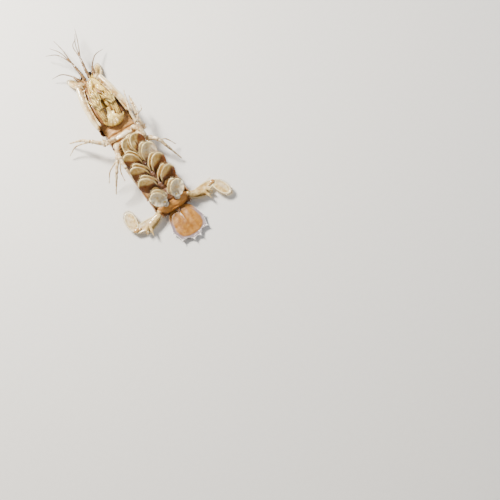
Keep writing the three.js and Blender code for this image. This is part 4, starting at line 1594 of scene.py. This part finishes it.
@dataclass
class Mouth:
    """Jaws and the small limbs that lie over them."""

    teeth: ClassVar[int] = 11
    lobes: ClassVar[int] = 5
    brush: ClassVar[int] = 14
    ragged_from: ClassVar[float] = 4.5
    lap: ClassVar[float] = 1.4
    hook: ClassVar[tuple[Spot, ...]] = ((0.2, 8.4, 0.4), (1.7, 6.4, 0.9), (1.7, 3.4, 0.7), (0.8, 1.0, 0.5))

    middle: Pair = (29.5, 9.4)
    halves: Triple = (5.6, 10.5, 5.4)
    gap: float = -0.34
    base: Triple = (-0.9, 40.4, 12.1)
    base_halves: Triple = (9.6, 9.6, 2.4)
    plans: dict[Side, tuple[HandPlan, ...]] = per_side((
        HandPlan(3, (3, 39, 13.4), (2.6, 25, 17), (2.4, 15.8, 17.4), 2.67, 3.4),
        HandPlan(4, (4.2, 42.4, 12.8), (5.2, 29, 18.4), (3.6, 21.6, 19.2), 0.2, 4.8),
        HandPlan(5, (4.8, 46, 10.4), (6.6, 35, 17.2), (5.6, 27.6, 18.8), 0.15, 5.2),
    ), (
        HandPlan(3, (-3, 39, 13.4), (-5.2, 20, 17), (-2.2, 9.2, 17.2), 0.475, 3.8),
        HandPlan(4, (-4.2, 42.4, 12.8), (-6.9, 27, 18), (-2.8, 17.3, 19.4), 0.5, 4.2),
        HandPlan(5, (-4.8, 46, 10.4), (-7.2, 36, 16.8), (-6, 27.4, 19.2), 0.1, 5.4),
    ))

    def jaws(self, coat: Coat, rng: Random) -> None:
        """The soft block of lips and jaws, with overlapping lobes each side of a deep groove.

        Args:
            coat: The bristles.
            rng: Source of the small differences.
        """
        clay = Clay()
        y0, z0 = self.middle
        wide, long, tall = self.halves

        def block(angle: float, reach: float, face: float) -> Vector:
            """A point of the block of lips and jaws."""
            x, y = math.cos(angle) * reach, math.sin(angle) * reach
            ridge = 1 - 0.5 * hump(x - self.gap, 0.2) - 0.12 * hump(abs(x) - 0.55, 0.08)
            lift = max(face, -0.2) * tall * ridge * (0.9 - 0.18 * y)
            return at(x * wide * (1 + 0.12 * y), y0 + y * long, z0 + lift)

        # Painted shade: darker in the middle groove and towards the front of the block.
        clay.lens(block, 72, 40, lambda a, r, f: {
            "tone": max(0.8 * hump(math.cos(a) * r - self.gap, 0.2), 0.8 * ease(0.4 - math.sin(a) * r))})
        clay.lens(lambda a, r, f: at(math.cos(a) * r * 2.9, 20.8 + math.sin(a) * r * 2.4, 13.6 + f * 1.4),
                  32, 16, lambda a, r, f: {"tone": 0.8})
        spot, halves = Vector(self.base), self.base_halves
        clay.lens(lambda a, r, f: at(
            spot.x + math.cos(a) * r * halves[0], spot.y + math.sin(a) * r * halves[1],
            spot.z + f * halves[2] * (1 - 0.3 * hump(math.cos(a) * r, 0.1))
            + 1.1 * noise.noise(Vector((math.cos(a) * r * 6, math.sin(a) * r * 2.6, 3)))),
            88, 30, lambda a, r, f: {"white": 0.6 * (1 - r * r), "tone": 0.4 * ease((r - 0.35) / 0.5)})
        for sign in (-1, 1):
            clay.ball(at(sign * 2.1, 25.2, 13.9), (1.5, 3.0, 1.3), 0.2, turned(0, 0, sign * 0.35))
            for tooth in range(4):
                root = at(sign * 1.0, 23.6 + tooth * 1.1, 14.4)
                clay.spike(root, root + Vector((-sign * 0.85, -0.2, 0.35)), 0.4, tone=0.8)
            clay.ball(at(sign * 1.8, 30.6, 14.0), (1.5, 2.7, 1.3), 0.0, turned(0, 0, -sign * 0.15))
            for lobe in range(4):
                leaf = Leaf(9.4 - lobe * 0.7, 4.2, 1.1, dish=0.05, rim=0.4, ruffle=0.3, folds=5 + lobe,
                            curl=-0.08, around=48, rings=12)
                root = at(sign * (5.3 - lobe * 0.75), 38.0 - lobe * 3.4, 11.4 + lobe * 0.55)
                yaw = math.pi + sign * (0.34 + lobe * 0.08)
                place = placed(root, 0.42, sign * 0.35, yaw, "ZXY")
                leaf.add_to(clay, place)
                coat.fringe(leaf, place, 46, 1.3, (0.2, math.pi - 0.2), rng, 0.05)
        clay.wrinkle(1.1, 0.3)
        # Painted shade on the low parts of the mouth.
        clay.paint_shade_below(14.4, 11.4, 0.7)
        clay.finish("jaw_lobes", Slot.CREAM, ["mouthparts"])

    def cleaning_limb(self, side: Side, coat: Coat, rng: Random) -> None:
        """The thin limb beside the jaws, with a brush at its end."""
        sign = side.sign
        limb = Limb(path(sign, (6.2, 40, 11.4), (6.2, 30, 15.4), (5.2, 19, 15.6), (3.4, 11, 13.4)),
                    [1.0, 0.85, 0.7, 0.4], pinch=0.3, swell=0.2, steps=60)
        clay = Clay()
        limb.add_to(clay)
        clay.finish(side.named("maxilliped_1_limb"), Slot.CREAM, [side.named("maxilliped_1")])
        end, ahead, _, _ = limb.route.frame(1.0)
        coat.tuft(end, ahead, 60, 1.8, 0.4, rng)

    def hand_limb(self, side: Side, plan: HandPlan, coat: Coat, rng: Random) -> None:
        """A broad limb that reaches over the jaws and ends in an oval hand with a hooked finger.

        Args:
            side: The animal's side.
            plan: How it runs.
            coat: The bristles.
            rng: Source of the small differences.
        """
        sign = side.sign
        start, bend, wrist = path(1, plan.root, plan.elbow, plan.wrist)
        middle = start.lerp(bend, 0.5) + Vector((sign * 0.4, 0, 1.2))
        clay = Clay()
        arm = Limb([start, middle, bend, wrist], [1.4, 1.3, 1.1, 0.8], flat=1.15, swell=0.1, steps=80,
                   sides=36)

        def ridged(t: float, angle: float) -> Vector:
            """A point of the ridged arm."""
            centre = arm.route.point(t)
            return centre + (arm.surface(t, angle) - centre) * (1 + 0.09 * math.sin(angle * 6 + t * 4))

        # Painted shade in the troughs between the ridges and near the root.
        clay.tube(ridged, even_steps(arm.steps), arm.sides, lambda t, a: {
            "tone": 0.7 * max(0.0, -math.sin(a * 6 + t * 4)) + 0.6 * ease(1 - t * 3)})
        ragged = plan.wide > self.ragged_from
        palm = Leaf(9, plan.wide, 2.2, dish=0.0, point=0.1, rim=0.0, ruffle=0.18, folds=11, around=48,
                    rings=18)
        lap = Vector((math.sin(plan.turn), -math.cos(plan.turn), 0)) * self.lap
        place = placed(wrist + lap + Vector((0, 0, 0.2)), -0.1, 0, plan.turn)
        # Painted shade: the ragged hands are dark beneath their fingers, the others darker round the rim
        # underneath.
        palm.add_to(clay, place, lambda a, r, f: {
            "tone": 0.8 if ragged else 0.7 * ease((r - 0.8) / 0.2) * ease(-f * 3 + 1),
            "white": 0.3 * (1 - r), "rim": mix(0.84, 0.96, r)})
        hook = [place @ Vector((-sign * x, y, z)) for x, y, z in self.hook]
        Limb(hook, [0.5, 0.42, 0.3, 0.08], steps=30, sides=12, stain=0.3).add_to(clay)
        self.rags(clay, arm, palm, place, sign, rng)
        if ragged:
            self.fingers(clay, plan.wide, place, -sign, rng)
        if side is Side.LEFT and plan.number == 3:
            self.tuft(clay, wrist, rng)
        clay.wrinkle(0.8, 0.14)
        part = f"maxilliped_{plan.number}"
        clay.finish(side.named(f"{part}_limb"), Slot.CREAM, [side.named(part)])
        coat.fringe(palm, place, 90, 1.0, (-0.9, math.pi + 0.9), rng, 0.04)

    def fingers(self, clay: Clay, wide: float, place: Matrix, inward: int, rng: Random) -> None:
        """A ragged fan over a hand: slender lobes that spread from its far end towards the head.

        Args:
            clay: The piece.
            wide: Width of the hand.
            place: Where the hand lies.
            inward: Direction of the body's middle along x.
            rng: Source of the small differences.
        """
        for layer in range(2):
            for i in range(self.lobes):
                lane = mix(-1, 1, i / (self.lobes - 1))
                root = Vector((lane * wide * 0.22, 9.6 - layer * 2.6, 0.4 + layer * 0.5))
                tip = Vector((lane * wide * 0.72 + inward * 0.7, -1.4 + layer * 2.0 + rng.uniform(-1.4, 1.2),
                              0.5 + layer * 0.5))
                bend = root.lerp(tip, 0.5) + Vector((lane * 0.5, 0, 1.0 + rng.uniform(-0.35, 0.4)))
                lobe = Limb([place @ root, place @ bend, place @ tip], [0.5, 0.62, 0.1], sides=10, steps=18,
                            flat=1.25)
                tone, white = 0.4 * ((i + layer) % 2) + rng.uniform(0.0, 0.15), rng.uniform(0.0, 0.9)
                # Painted shade on the underside of each lobe, over tones that alternate from lobe to lobe.
                clay.tube(lobe.surface, even_steps(lobe.steps), lobe.sides, lambda t, a, d=tone, w=white: {
                    "tone": d + 0.8 * ease(-math.cos(a) + 0.3), "white": w,
                    "rim": 0.8 + 0.2 * ease(t * 3 - 1)})

    def rags(self, clay: Clay, arm: Limb, palm: Leaf, place: Matrix, sign: int, rng: Random) -> None:
        """Ragged teeth that point in and forward from the inner edges of an arm and its hand."""
        for i in range(self.teeth):
            centre = arm.route.point(mix(0.3, 0.95, i / (self.teeth - 1)))
            root = centre + Vector((-sign * 1.3, 0, 0.2))
            away = Vector((-sign * rng.uniform(0.8, 1.8), -rng.uniform(0.8, 2.2), rng.uniform(-0.2, 0.7)))
            clay.spike(root, root + away, rng.uniform(0.3, 0.55), 8)
        middle = place @ palm.outline(0, 0)
        for i in range(2 * self.teeth):
            root = place @ palm.outline(2 * math.pi * i / (2 * self.teeth), 0.9)
            if (root.x - middle.x) * sign < 0:
                away = Vector((-sign * rng.uniform(0.6, 1.3), -rng.uniform(0.3, 1.5), rng.uniform(-0.3, 0.5)))
                clay.spike(root, root + away, rng.uniform(0.25, 0.45), 8)

    def tuft(self, clay: Clay, wrist: Vector, rng: Random) -> None:
        """Yellow brush of short points in front of the foremost hands."""
        for _ in range(self.brush):
            root = wrist + Vector(rng.normal(0, 0.5, 3)) + Vector((-0.8, -0.6, 0))
            away = Vector((-1.3, -2.4, -0.2)) + Vector(rng.normal(0, 0.9, 3))
            clay.spike(root, root + away, rng.uniform(0.3, 0.5), 8)

    def build(self) -> None:
        """Makes the jaws and their limbs."""
        rng = np.random.default_rng(23)
        coat = Coat()
        self.jaws(coat, rng)
        for side in Side:
            self.cleaning_limb(side, coat, rng)
            for plan in self.plans[side]:
                self.hand_limb(side, plan, coat, rng)
        nodes = ["mouthparts"] + [side.named(f"maxilliped_{n}") for side in Side for n in (1, 3, 4, 5)]
        coat.build("bristles_mouth", Slot.CREAM, nodes)


@dataclass
class Legs:
    """Three pairs of thin walking legs, and the pale breastplates between them."""

    thorns: ClassVar[int] = 8
    radii: Row = (1.9, 1.75, 1.3, 1.0, 0.42)
    bars: tuple[Triple, ...] = ((57.4, 9.2, 2.1), (62.8, 9.2, 1.9), (68.0, 8.6, 1.8))
    knobs: dict[Side, Row] = per_side((2.0, 2.9, 2.2), (2.1, 1.9, 2.2))
    routes: dict[Side, tuple[tuple[Spot, ...], ...]] = per_side((
        ((9.4, 57, 9), (15.6, 58.4, 13.6), (24, 52, 15.4), (29.4, 45.4, 12), (38.6, 37.6, 4)),
        ((9.8, 63, 9), (9.8, 66.8, 15.6), (15.6, 78, 19.4), (22, 86.5, 18), (31, 96, 9)),
        ((10.6, 68.8, 9), (12.2, 71, 16), (13.4, 80, 20.4), (14, 88.4, 20.6), (14.6, 99, 17)),
    ), (
        ((9, 57, 9), (14.4, 62.6, 13), (15.8, 54, 17.6), (17.8, 46, 19.6), (19.4, 37.4, 18)),
        ((9.2, 63, 9), (12, 70.6, 15.4), (12.4, 61, 20), (13, 51.6, 22.6), (18, 33.6, 22.4)),
        ((9.2, 68.6, 9), (14.6, 73.4, 13), (19, 79.6, 15), (21.4, 86, 12), (26, 97, 3)),
    ))
    branches: dict[Side, tuple[tuple[Spot, Spot], ...]] = per_side(
        (((36, 45, 8), (43.6, 46.2, 3)), ((24.6, 80, 14), (30.4, 85, 8)), ((18, 86, 19), (20, 93.5, 15))),
        (((21.6, 50.4, 14), (23.6, 44, 9)), ((17.4, 55, 21.6), (19.4, 42, 21.6)),
         ((24.4, 80, 10), (29, 85, 4))))

    def leg(self, side: Side, index: int, coat: Coat, rng: Random) -> None:
        """One leg: a knobbly root, slender joints, a side branch, brushes, and thorns on the first pair.

        Args:
            side: The animal's side.
            index: Which one, from 0.
            coat: The bristles.
            rng: Source of the small differences.
        """
        sign = side.sign
        route = path(sign, *self.routes[side][index])
        middle, tip = path(sign, *self.branches[side][index])
        clay = Clay()
        main = Limb(route, self.radii, pinch=0.34, swell=0.3, steps=110, sides=16, round_ends=0.015)
        main.add_to(clay)
        branch = Limb([route[2], middle, tip], [0.62, 0.5, 0.24], pinch=0.2, swell=0.12, steps=40, sides=10)
        branch.add_to(clay)
        outward = Vector((sign, 0, 0))
        knob = self.knobs[side][index]
        clay.ball(route[0] + outward * 0.2, (2.3, 2.1, 2.1), 0.12)
        clay.ball(route[0].lerp(route[1], 0.45), (2.1, 1.7, 1.9), 0.05)
        clay.ball(route[0] + Vector((-sign * 1.4, 0.2, 1.2)), (1.2, 1.3, 0.9), 0.3)
        clay.ball(route[1], (knob, knob, knob * 0.85), 0.0)
        beside = route[1] + Vector((sign * knob * 0.6, knob * 0.7, -0.6))
        clay.ball(beside, (knob * 0.5, knob * 0.45, 0.9), 0.35)
        for i in range(self.thorns if index == 0 else 0):
            turn = 2 * math.pi * i / self.thorns
            away = Vector((math.cos(turn), math.sin(turn), 0.45))
            clay.spike(route[1] + away * knob * 0.5, route[1] + away * (knob + 2.0), 1.1, 8)
        clay.wrinkle(1.4, 0.2)
        node = side.named(f"walking_leg_{index + 1}")
        clay.finish(f"{node}_shell", Slot.LEG, [node])
        for limb, count in ((main, 46), (branch, 26)):
            end, ahead, _, _ = limb.route.frame(1.0)
            coat.tuft(end - ahead * 0.6, ahead, count, 1.6, 0.3, rng, 0.04)

    def breastplates(self) -> None:
        """Pale bars across the underside between the legs."""
        clay = Clay()
        for number, (y0, half, deep) in enumerate(self.bars):
            def bar(angle: float, reach: float, face: float, y0: float = y0, half: float = half,
                    deep: float = deep) -> Vector:
                """A point of one bar."""
                x = power(math.cos(angle), 0.6) * reach
                y = power(math.sin(angle), 0.8) * reach
                bend = 0.5 * x * x + 0.5 * noise.noise(Vector((x * 1.6, y0, 1)))
                return at(x * half, y0 + y * deep + bend, 8.8 + face * 1.1 - 0.7 * x * x)

            clay.lens(bar, 96, 20, lambda a, r, f, n=number: {
                "tone": 0.25 * (n == 2) + 0.6 * ease((r - 0.8) / 0.2),
                "white": 0.9 * (n == 0) * (1 - r ** 3)})
        clay.wrinkle(1.1, 0.2)
        nodes = [f"thoracic_somite_{number}" for number in (6, 7, 8)]
        clay.finish("breastplates", Slot.LEG, nodes)

    def build(self) -> None:
        """Makes the legs and the breastplates."""
        rng = np.random.default_rng(37)
        coat = Coat()
        self.breastplates()
        for side in Side:
            for index in range(3):
                self.leg(side, index, coat, rng)
        nodes = [side.named(f"walking_leg_{n}") for side in Side for n in (1, 2, 3)]
        coat.build("bristles_legs", Slot.LEG, nodes)


@dataclass
class SwimmingLegs:
    """Five pairs of leaf-like swimming legs with their gills."""

    trunk: Trunk
    long: float = 16.5
    wide: float = 12.0
    side_root: float = 3.6
    share: float = 0.85
    lift: float = 0.5
    shrink: Row = (1, 1, 0.98, 0.95, 0.86)
    splays: dict[Side, Row] = per_side((-0.1, 0.5, 0.68, 0.74, 0.86), (0.1, 0.5, 0.62, 0.8, 0.8))
    rolls: dict[Side, Row] = per_side((-0.3, 0.45, 0.6, 0.6, 0.35), (0.2, 0.3, 0.5, 0.6, 0.35))
    bright: dict[Side, tuple[int, ...]] = per_side((-1, 1, 1, 1, 1), (1, 1, 1, 1, 1))
    # Whiteness of each leaf: the last pair's own pale colour, and painted highlight streaks on some other
    # leaves.
    white_and_sheen_outer: dict[Side, Row] = per_side((0, 0, 0, 0, 1), (0, 0.7, 0, 0, 1))
    white_and_sheen_inner: dict[Side, Row] = per_side((0, 0, 0.3, 0.9, 0.8), (0, 0.9, 0, 0, 0.8))
    gill_threads: int = 16

    def shade(self, bright: int, white: float, last: bool) -> LensPaint:
        """Paint for a leaf: painted shade, brown towards its root and lower side, and a painted highlight, a
        paler rim, on its lit side.

        Args:
            bright: 1 if its own +X side is the one painted lit, -1 if the other.
            white: How white the leaf is.
            last: Whether it is one of the last pair, less white in the middle.

        Returns:
            The paint.
        """
        def paint(angle: float, reach: float, face: float) -> Numbers:
            """Painted numbers of a point."""
            across = math.cos(angle) * reach * bright
            ahead = 0.5 + 0.5 * math.sin(angle) * reach
            # Painted light: a paler rim as painted highlight on the lit side, painted shade towards the root
            # and lower side.
            lit_side = ease((across + 0.7 * (2 * ahead - 1) + 0.35) / 0.9)
            rim = reach ** 0.85 * mix(0.74, 1.0, lit_side)
            brown = ease((0.55 - ahead) / 0.5) * 0.8 + 0.75 * (1 - lit_side)
            if last:
                return {"tone": 0.4 * brown, "white": white * (1 - 0.6 * hump(reach, 0.5)), "rim": rim}
            tone = min(1.0, brown * (1 - 0.5 * white))
            return {"tone": tone, "white": white * ease(ahead * 1.6), "rim": rim}

        return paint

    def gills(self, clay: Clay, root: Vector, side: int, rng: Random) -> None:
        """A tuft of curled threads at the root of the outer leaf."""
        for i in range(self.gill_threads):
            swing = mix(-0.9, 0.9, i / (self.gill_threads - 1))
            reach = rng.uniform(2.2, 3.4)
            start = root + Vector((side * (1.2 + 0.5 * math.sin(i)), -1.0 + 0.3 * (i % 4), 0.4))
            knee = start + Vector((side * (1.0 + swing), -reach * 0.5, 1.0 + 0.3 * rng.random()))
            end = start + Vector((side * (1.4 + 1.6 * swing), -reach, 0.2))
            Limb([start, knee, end], [0.24, 0.22, 0.1], steps=10, sides=6, stain=0.85).add_to(clay)

    def leg(self, side: Side, number: int, station: float, coat: Coat, rng: Random) -> None:
        """One swimming leg: root, outer leaf, inner leaf and gills.

        Args:
            side: The animal's side.
            number: Which pair, from 1.
            station: Where its root lies.
            coat: The bristles.
            rng: Source of the small differences.
        """
        sign = side.sign
        shrink = self.shrink[number - 1]
        last = number == 5
        index = number - 1
        outer = Leaf(self.long * shrink, self.wide * shrink, 1.0, dish=0.15, point=-0.05, rim=1.3,
                     ruffle=0.5 if last else 0.32, folds=9 if last else 3 + number % 2, curl=0.1,
                     around=72, rings=22)
        inner = Leaf(outer.long * 0.9, outer.wide * 0.74, 1.0, dish=0.14, rim=1.1, ruffle=0.24, folds=5,
                     curl=0.08, around=60, rings=20)
        root = at(sign * self.side_root, station + (2.4 if last else 0), self.trunk.abdomen_edge + 2.2 + 0.5)
        swing, roll = self.splays[side][index], -sign * self.rolls[side][index]
        outer_turn = turned(self.lift, roll, sign * swing - math.pi, "ZXY")
        inner_turn = turned(self.lift, roll, sign * (swing - 0.12) - math.pi, "ZXY")
        clay = Clay()
        # The root and its knob are painted darker as shade; the root not on the last pair.
        base = Leaf(5, 4.4, 2.4, dish=0, rim=0.0, around=32, rings=14)
        base.add_to(clay, Matrix.Translation(root + Vector((0, 1.6, -1.8 if last else -0.2))) @ outer_turn,
                    lambda a, r, f: {"tone": 0.0 if last else 0.4, "rim": 0.0, "white": 0.8 * last})
        clay.ball(root + Vector((sign * 0.4, 0.0, -2.4 if last else -0.9)), (2.3, 1.9, 1.5), 0.3)
        inner_root = root + Vector((-sign * 1.7, -2.8, 0.4))
        bright = sign * self.bright[side][index]
        for leaf, spot, turn, white in ((outer, root, outer_turn, self.white_and_sheen_outer[side][index]),
                                        (inner, inner_root, inner_turn, self.white_and_sheen_inner[side][index])):
            place = Matrix.Translation(spot) @ turn
            leaf.add_to(clay, place, self.shade(bright, white, last))
            coat.fringe(leaf, place, 130, 1.5, (-0.5, math.pi + 0.5), rng, 0.04)
        node = side.named(f"pleopod_{number}")
        clay.wrinkle(2.4, 0.3)
        # Painted shade on the low parts of the leaves, next to the belly.
        clay.paint_shade_below(13.0, 10.6, 0.9)
        clay.finish(f"{node}_leaves", Slot.LEAF, [node])
        gills = Clay()
        self.gills(gills, root, sign, rng)
        gills.finish(f"{node}_gills", Slot.CREAM, [node])

    def build(self) -> None:
        """Makes all ten swimming legs."""
        rng = np.random.default_rng(51)
        coat = Coat()
        front = self.trunk.abdomen_front
        for number, length in enumerate(self.trunk.abdomen_lengths[:5], 1):
            for side in Side:
                self.leg(side, number, front + length * self.share, coat, rng)
            front += length
        nodes = [side.named(f"pleopod_{n}") for side in Side for n in range(1, 6)]
        coat.build("bristles_swimming_legs", Slot.LEAF, nodes)


@dataclass
class Tail:
    """The tail plate and the spread tail paddles."""

    front: float = 128.7
    long: float = 28.6
    half: float = 13.0
    notch: float = 2.4
    neck: float = 10.4
    thick: float = 3.2
    teeth: tuple[Triple, ...] = ((2.9, 28.5, 1.9), (11.2, 24.6, 3.1), (14, 15.4, 1.5))
    stops: Row = (0, 1 / 18, 5 / 18, 9 / 18, 1)
    fine: tuple[int, ...] = (1, 9, 4)
    spines: int = 9
    shoulder: float = 0.8
    spots: Triple = (5.0, 7.0, 1.5)
    root: Spot = (11.4, 125.4, 4.8)
    yaws: dict[Side, float] = per_side(-1.68, 1.2)
    hinges: dict[Side, Pair] = per_side((23.7, 2.6), (22.4, 0.4))
    points: list[Pair] = field(init=False)

    def __post_init__(self) -> None:
        """Works out how far each tooth stands from the middle of the plate, and its turn from the rear."""
        ends = [(side, reach - self.long / 2) for side, reach, _ in self.teeth]
        self.points = [(math.atan2(side, ahead), math.hypot(side, ahead)) for side, ahead in ends]

    def turn_at(self, angle: float) -> float:
        """Turn away from the rear, spread so that even steps round the plate meet each tooth."""
        even = math.atan2(math.cos(angle), math.sin(angle))
        turns = [0.0, *(turn for turn, _ in self.points), math.pi]
        return math.copysign(float(np.interp(abs(even) / math.pi, self.stops, turns)), even)

    def shield(self, turn: float) -> float:
        """Distance from the middle to the smooth inner outline."""
        across, ahead = abs(math.sin(turn)), math.cos(turn)
        long = self.long / 2 - (self.notch if ahead > 0 else 0)
        square = 2.5 if ahead > 0 else 3.4
        half = self.half if ahead > 0 else mix(self.half, self.neck, -ahead)
        return ((across / half) ** square + abs(ahead / long) ** square) ** (-1 / square)

    def toothed(self, turn: float) -> float:
        """Distance from the middle to the rim: three pairs of points with hollow bays between them."""
        size = abs(turn)
        last = self.points[-1][0]
        if size > last:
            return self.shield(turn) + self.shoulder * hump(size - last, 0.12)
        index = next(i for i, (tooth, _) in enumerate(self.points) if size <= tooth + 1e-6)
        before = self.points[index - 1] if index else (-self.points[0][0], self.points[0][1])
        share = min(1.0, max(0.0, (size - before[0]) / (self.points[index][0] - before[0])))
        chord = mix(before[1], self.points[index][1], share)
        return chord - self.teeth[index][2] * max(0.0, math.sin(math.pi * share)) ** 0.7

    def plate_point(self, angle: float, reach: float, face: float) -> Vector:
        """A point of the tail plate: keeled above and below, thin at the rim.

        Args:
            angle: Angle round it.
            reach: From 0 in the middle to 1 at the rim.
            face: From -1 below to 1 above.

        Returns:
            The point.
        """
        turn = self.turn_at(angle)
        rim = self.shield(turn)
        edge = max(0.0, (reach - 0.85) / 0.15)
        distance = rim * reach + (self.toothed(turn) - rim) * edge
        x = math.sin(turn) * distance
        y = self.front + self.long / 2 + math.cos(turn) * distance
        half = (self.thick / 2) * (1 - 0.55 * reach) + 0.14 * hump(reach - 0.95, 0.04)
        z = 2.3 + 0.9 * reach ** 2 + face * half
        keel = hump(x, 1.2) * (1 - reach ** 4)
        if face < 0:
            z -= 1.1 * keel + 0.3 * hump(abs(x) - 6.2, 0.6) * (1 - reach ** 3)
        else:
            ribs = hump(x, 0.8) * hump(y - self.front - 7, 6.5)
            ribs += 0.6 * hump(abs(x) - 5, 1.6) * (1 - reach ** 3)
            z += 0.5 * ribs - 0.3 * hump(reach - 0.86, 0.05)
        return at(x, y, max(z, 0))

    def plate_paint(self, angle: float, reach: float, face: float) -> Numbers:
        """Painted numbers: eye spots on the back, and a pale streak and a brown neck below."""
        turn = self.turn_at(angle)
        distance = self.shield(turn) * reach
        x, y = math.sin(turn) * distance, self.long / 2 + math.cos(turn) * distance
        side, ahead, size = self.spots
        spot = hump(math.hypot(abs(x) - side, (y - ahead) * 0.7), size) if face < 0 else 0.0
        streak = 0.9 * hump(x - 1.2 + 0.12 * y, 0.5) * hump(y - 6.5, 3.6) if face > 0 else 0.0
        return {"tone": spot, "rim": reach, "white": streak, "along": y / self.long}

    def plate(self) -> None:
        """The tail plate with its six big teeth and the fine ones between them."""
        clay = Clay()
        clay.lens(self.plate_point, 288, 48, self.plate_paint)
        for index, count in enumerate(self.fine):
            first, last = self.stops[index] * math.pi, self.stops[index + 1] * math.pi
            for i in range(1, count + 1):
                off = mix(first, last, i / (count + 1))
                for angle in (math.pi / 2 - off, math.pi / 2 + off):
                    rim = self.plate_point(angle, 1.0, 0.0)
                    out = (rim - self.plate_point(angle, 0.95, 0.0)).normalized()
                    clay.spike(rim - out * 0.5, rim + out * 0.4, 0.3, 6)
        for stop in self.stops[1:-1]:
            for angle in (math.pi / 2 - stop * math.pi, math.pi / 2 + stop * math.pi):
                tip = self.plate_point(angle, 1.0, 0.0)
                inner = self.plate_point(angle, 0.93, 0.0)
                clay.spike(inner, tip + (tip - inner).normalized() * 1.0, 0.65, 8)
        clay.wrinkle(4.0, 0.12)
        clay.lens(lambda a, r, f: at(math.cos(a) * r * 1.5, self.front + 1.6 + math.sin(a) * r * 2.2,
                                     3.9 + f * 0.7 - 0.5 * hump(r, 0.4) * (f > 0)), 24, 12)
        clay.finish("telson_plate", Slot.TELSON, ["telson"])

    @staticmethod
    def swung(spot: Vector, sign: int, yaw: float) -> Matrix:
        """Place of a paddle that points outward and, by its yaw, to the rear."""
        return placed(spot, 0, 0, sign * (yaw - math.pi / 2))

    def paddles(self, side: Side, coat: Coat, rng: Random) -> None:
        """One uropod: its root, the forked spine over it and the two paddles.

        Args:
            side: The animal's side.
            coat: The bristles.
            rng: Source of the small differences.
        """
        sign = side.sign
        root = at(sign * self.root[0], self.root[1], self.root[2])

        def out(x: float, y: float, z: float) -> Vector:
            """A point counted outward from the root."""
            return root + Vector((sign * x, y, z))

        clay = Clay()
        Limb([out(-0.6, -1.6, -0.6), out(2, -0.4, 0), out(5, 0.6, 0.2)], [2.0, 2.3, 1.8], sides=24, steps=26,
             round_ends=0.15).add_to(clay)
        crotch = out(13, 4.6, 1)
        Limb([out(1.5, 0.8, 0.8), out(7, 2.4, 1.2), crotch], [1.1, 1.2, 1.0], flat=2.1, sides=24, steps=30,
             round_ends=0.1).add_to(clay)
        for lane, (long, lean) in enumerate(((9.5, 0.25), (6.4, 0.8))):
            heading = Vector((sign * math.sin(lean), math.cos(lean), -0.05))
            start = crotch + Vector((sign * (0.8 if lane else -0.9), -0.9, 0))
            bend = start + heading * long * 0.5 + Vector((sign * 0.35, 0, 0.3))
            Limb([start, bend, start + heading * long], [1.3, 0.8, 0.1], sides=16, steps=26,
                 flat=1.2).add_to(clay)
        exo_place = self.swung(out(2.5, 1.5, -1), sign, 0.02)
        endo_place = self.swung(out(1.6, 0.8, -1.6), sign, 0.42)
        stem = Leaf(22.5, 7, 1.9, dish=0.06, point=-0.12, rim=0.3, ruffle=0.1, folds=5, around=64, rings=20)
        stem.add_to(clay, exo_place, lambda a, r, f: {
            "tone": 0.9 * ease((0.5 + 0.5 * math.sin(a) * r - 0.78) / 0.2),
            "white": 0.5 * hump(math.cos(a) * r - 0.3, 0.3)})
        paddle = Leaf(17.6, 8.8, 1.1, dish=0.08, point=-0.05, rim=1.2, ruffle=0.2, folds=3, around=72,
                      rings=24)
        paddle_place = self.swung(out(*self.hinges[side], -0.8), sign, self.yaws[side])
        paddle.add_to(clay, paddle_place, lambda a, r, f: {
            "tone": 0.8 * ease((0.16 - 0.5 - 0.5 * math.sin(a) * r) / 0.14),
            "white": 0.35 * hump(math.cos(a) * r + 0.3, 0.4)})
        hinge = out(self.hinges[side][0] - 0.6, 1.6, -0.2)
        clay.ball(hinge, (2.4, 1.8, 0.7), 0.4)
        clay.ball(hinge + Vector((-sign * 2.6, 0.6, 0.0)), (1.5, 1.1, 0.6), 0.3)
        inner = Leaf(17, 5.4, 1.0, dish=0.1, rim=1.2, ruffle=0.14, folds=3, around=64, rings=20)
        inner.add_to(clay, endo_place)
        for i in range(self.spines):
            share = i / (self.spines - 1)
            spot = Vector((sign * (3.1 + 0.4 * share), 9.4 + 9.6 * share, 0.3))
            tip = spot + Vector((sign * (0.8 + 0.6 * share), 1.0 + 1.1 * share, 0.1))
            clay.spike(exo_place @ spot, exo_place @ tip, 0.36, 8)
        clay.wrinkle(2.6, 0.2)
        clay.finish(side.named("uropod_paddles"), Slot.PADDLE, [side.named("uropod")])
        coat.fringe(paddle, paddle_place, 260, 2.2, (-0.6, math.pi + 0.6), rng, 0.045)
        coat.fringe(inner, endo_place, 280, 1.9, (-0.9, math.pi + 0.9), rng, 0.045)

    def build(self) -> None:
        """Makes the tail fan."""
        rng = np.random.default_rng(67)
        coat = Coat()
        self.plate()
        for side in Side:
            self.paddles(side, coat, rng)
        nodes = [side.named("uropod") for side in Side]
        coat.build("bristles_tail", Slot.PADDLE, nodes)


def main() -> None:
    """Builds the animal, the camera and the studio."""
    logging.basicConfig(level=logging.INFO, format="%(message)s")
    PhotoCamera().build()
    Studio().build()
    trunk = Trunk()
    for assembly in (trunk, Claws(), Head(), Mouth(), Legs(), SwimmingLegs(trunk), Tail()):
        assembly.build()
    report_size()


if __name__ == "__main__":
    main()
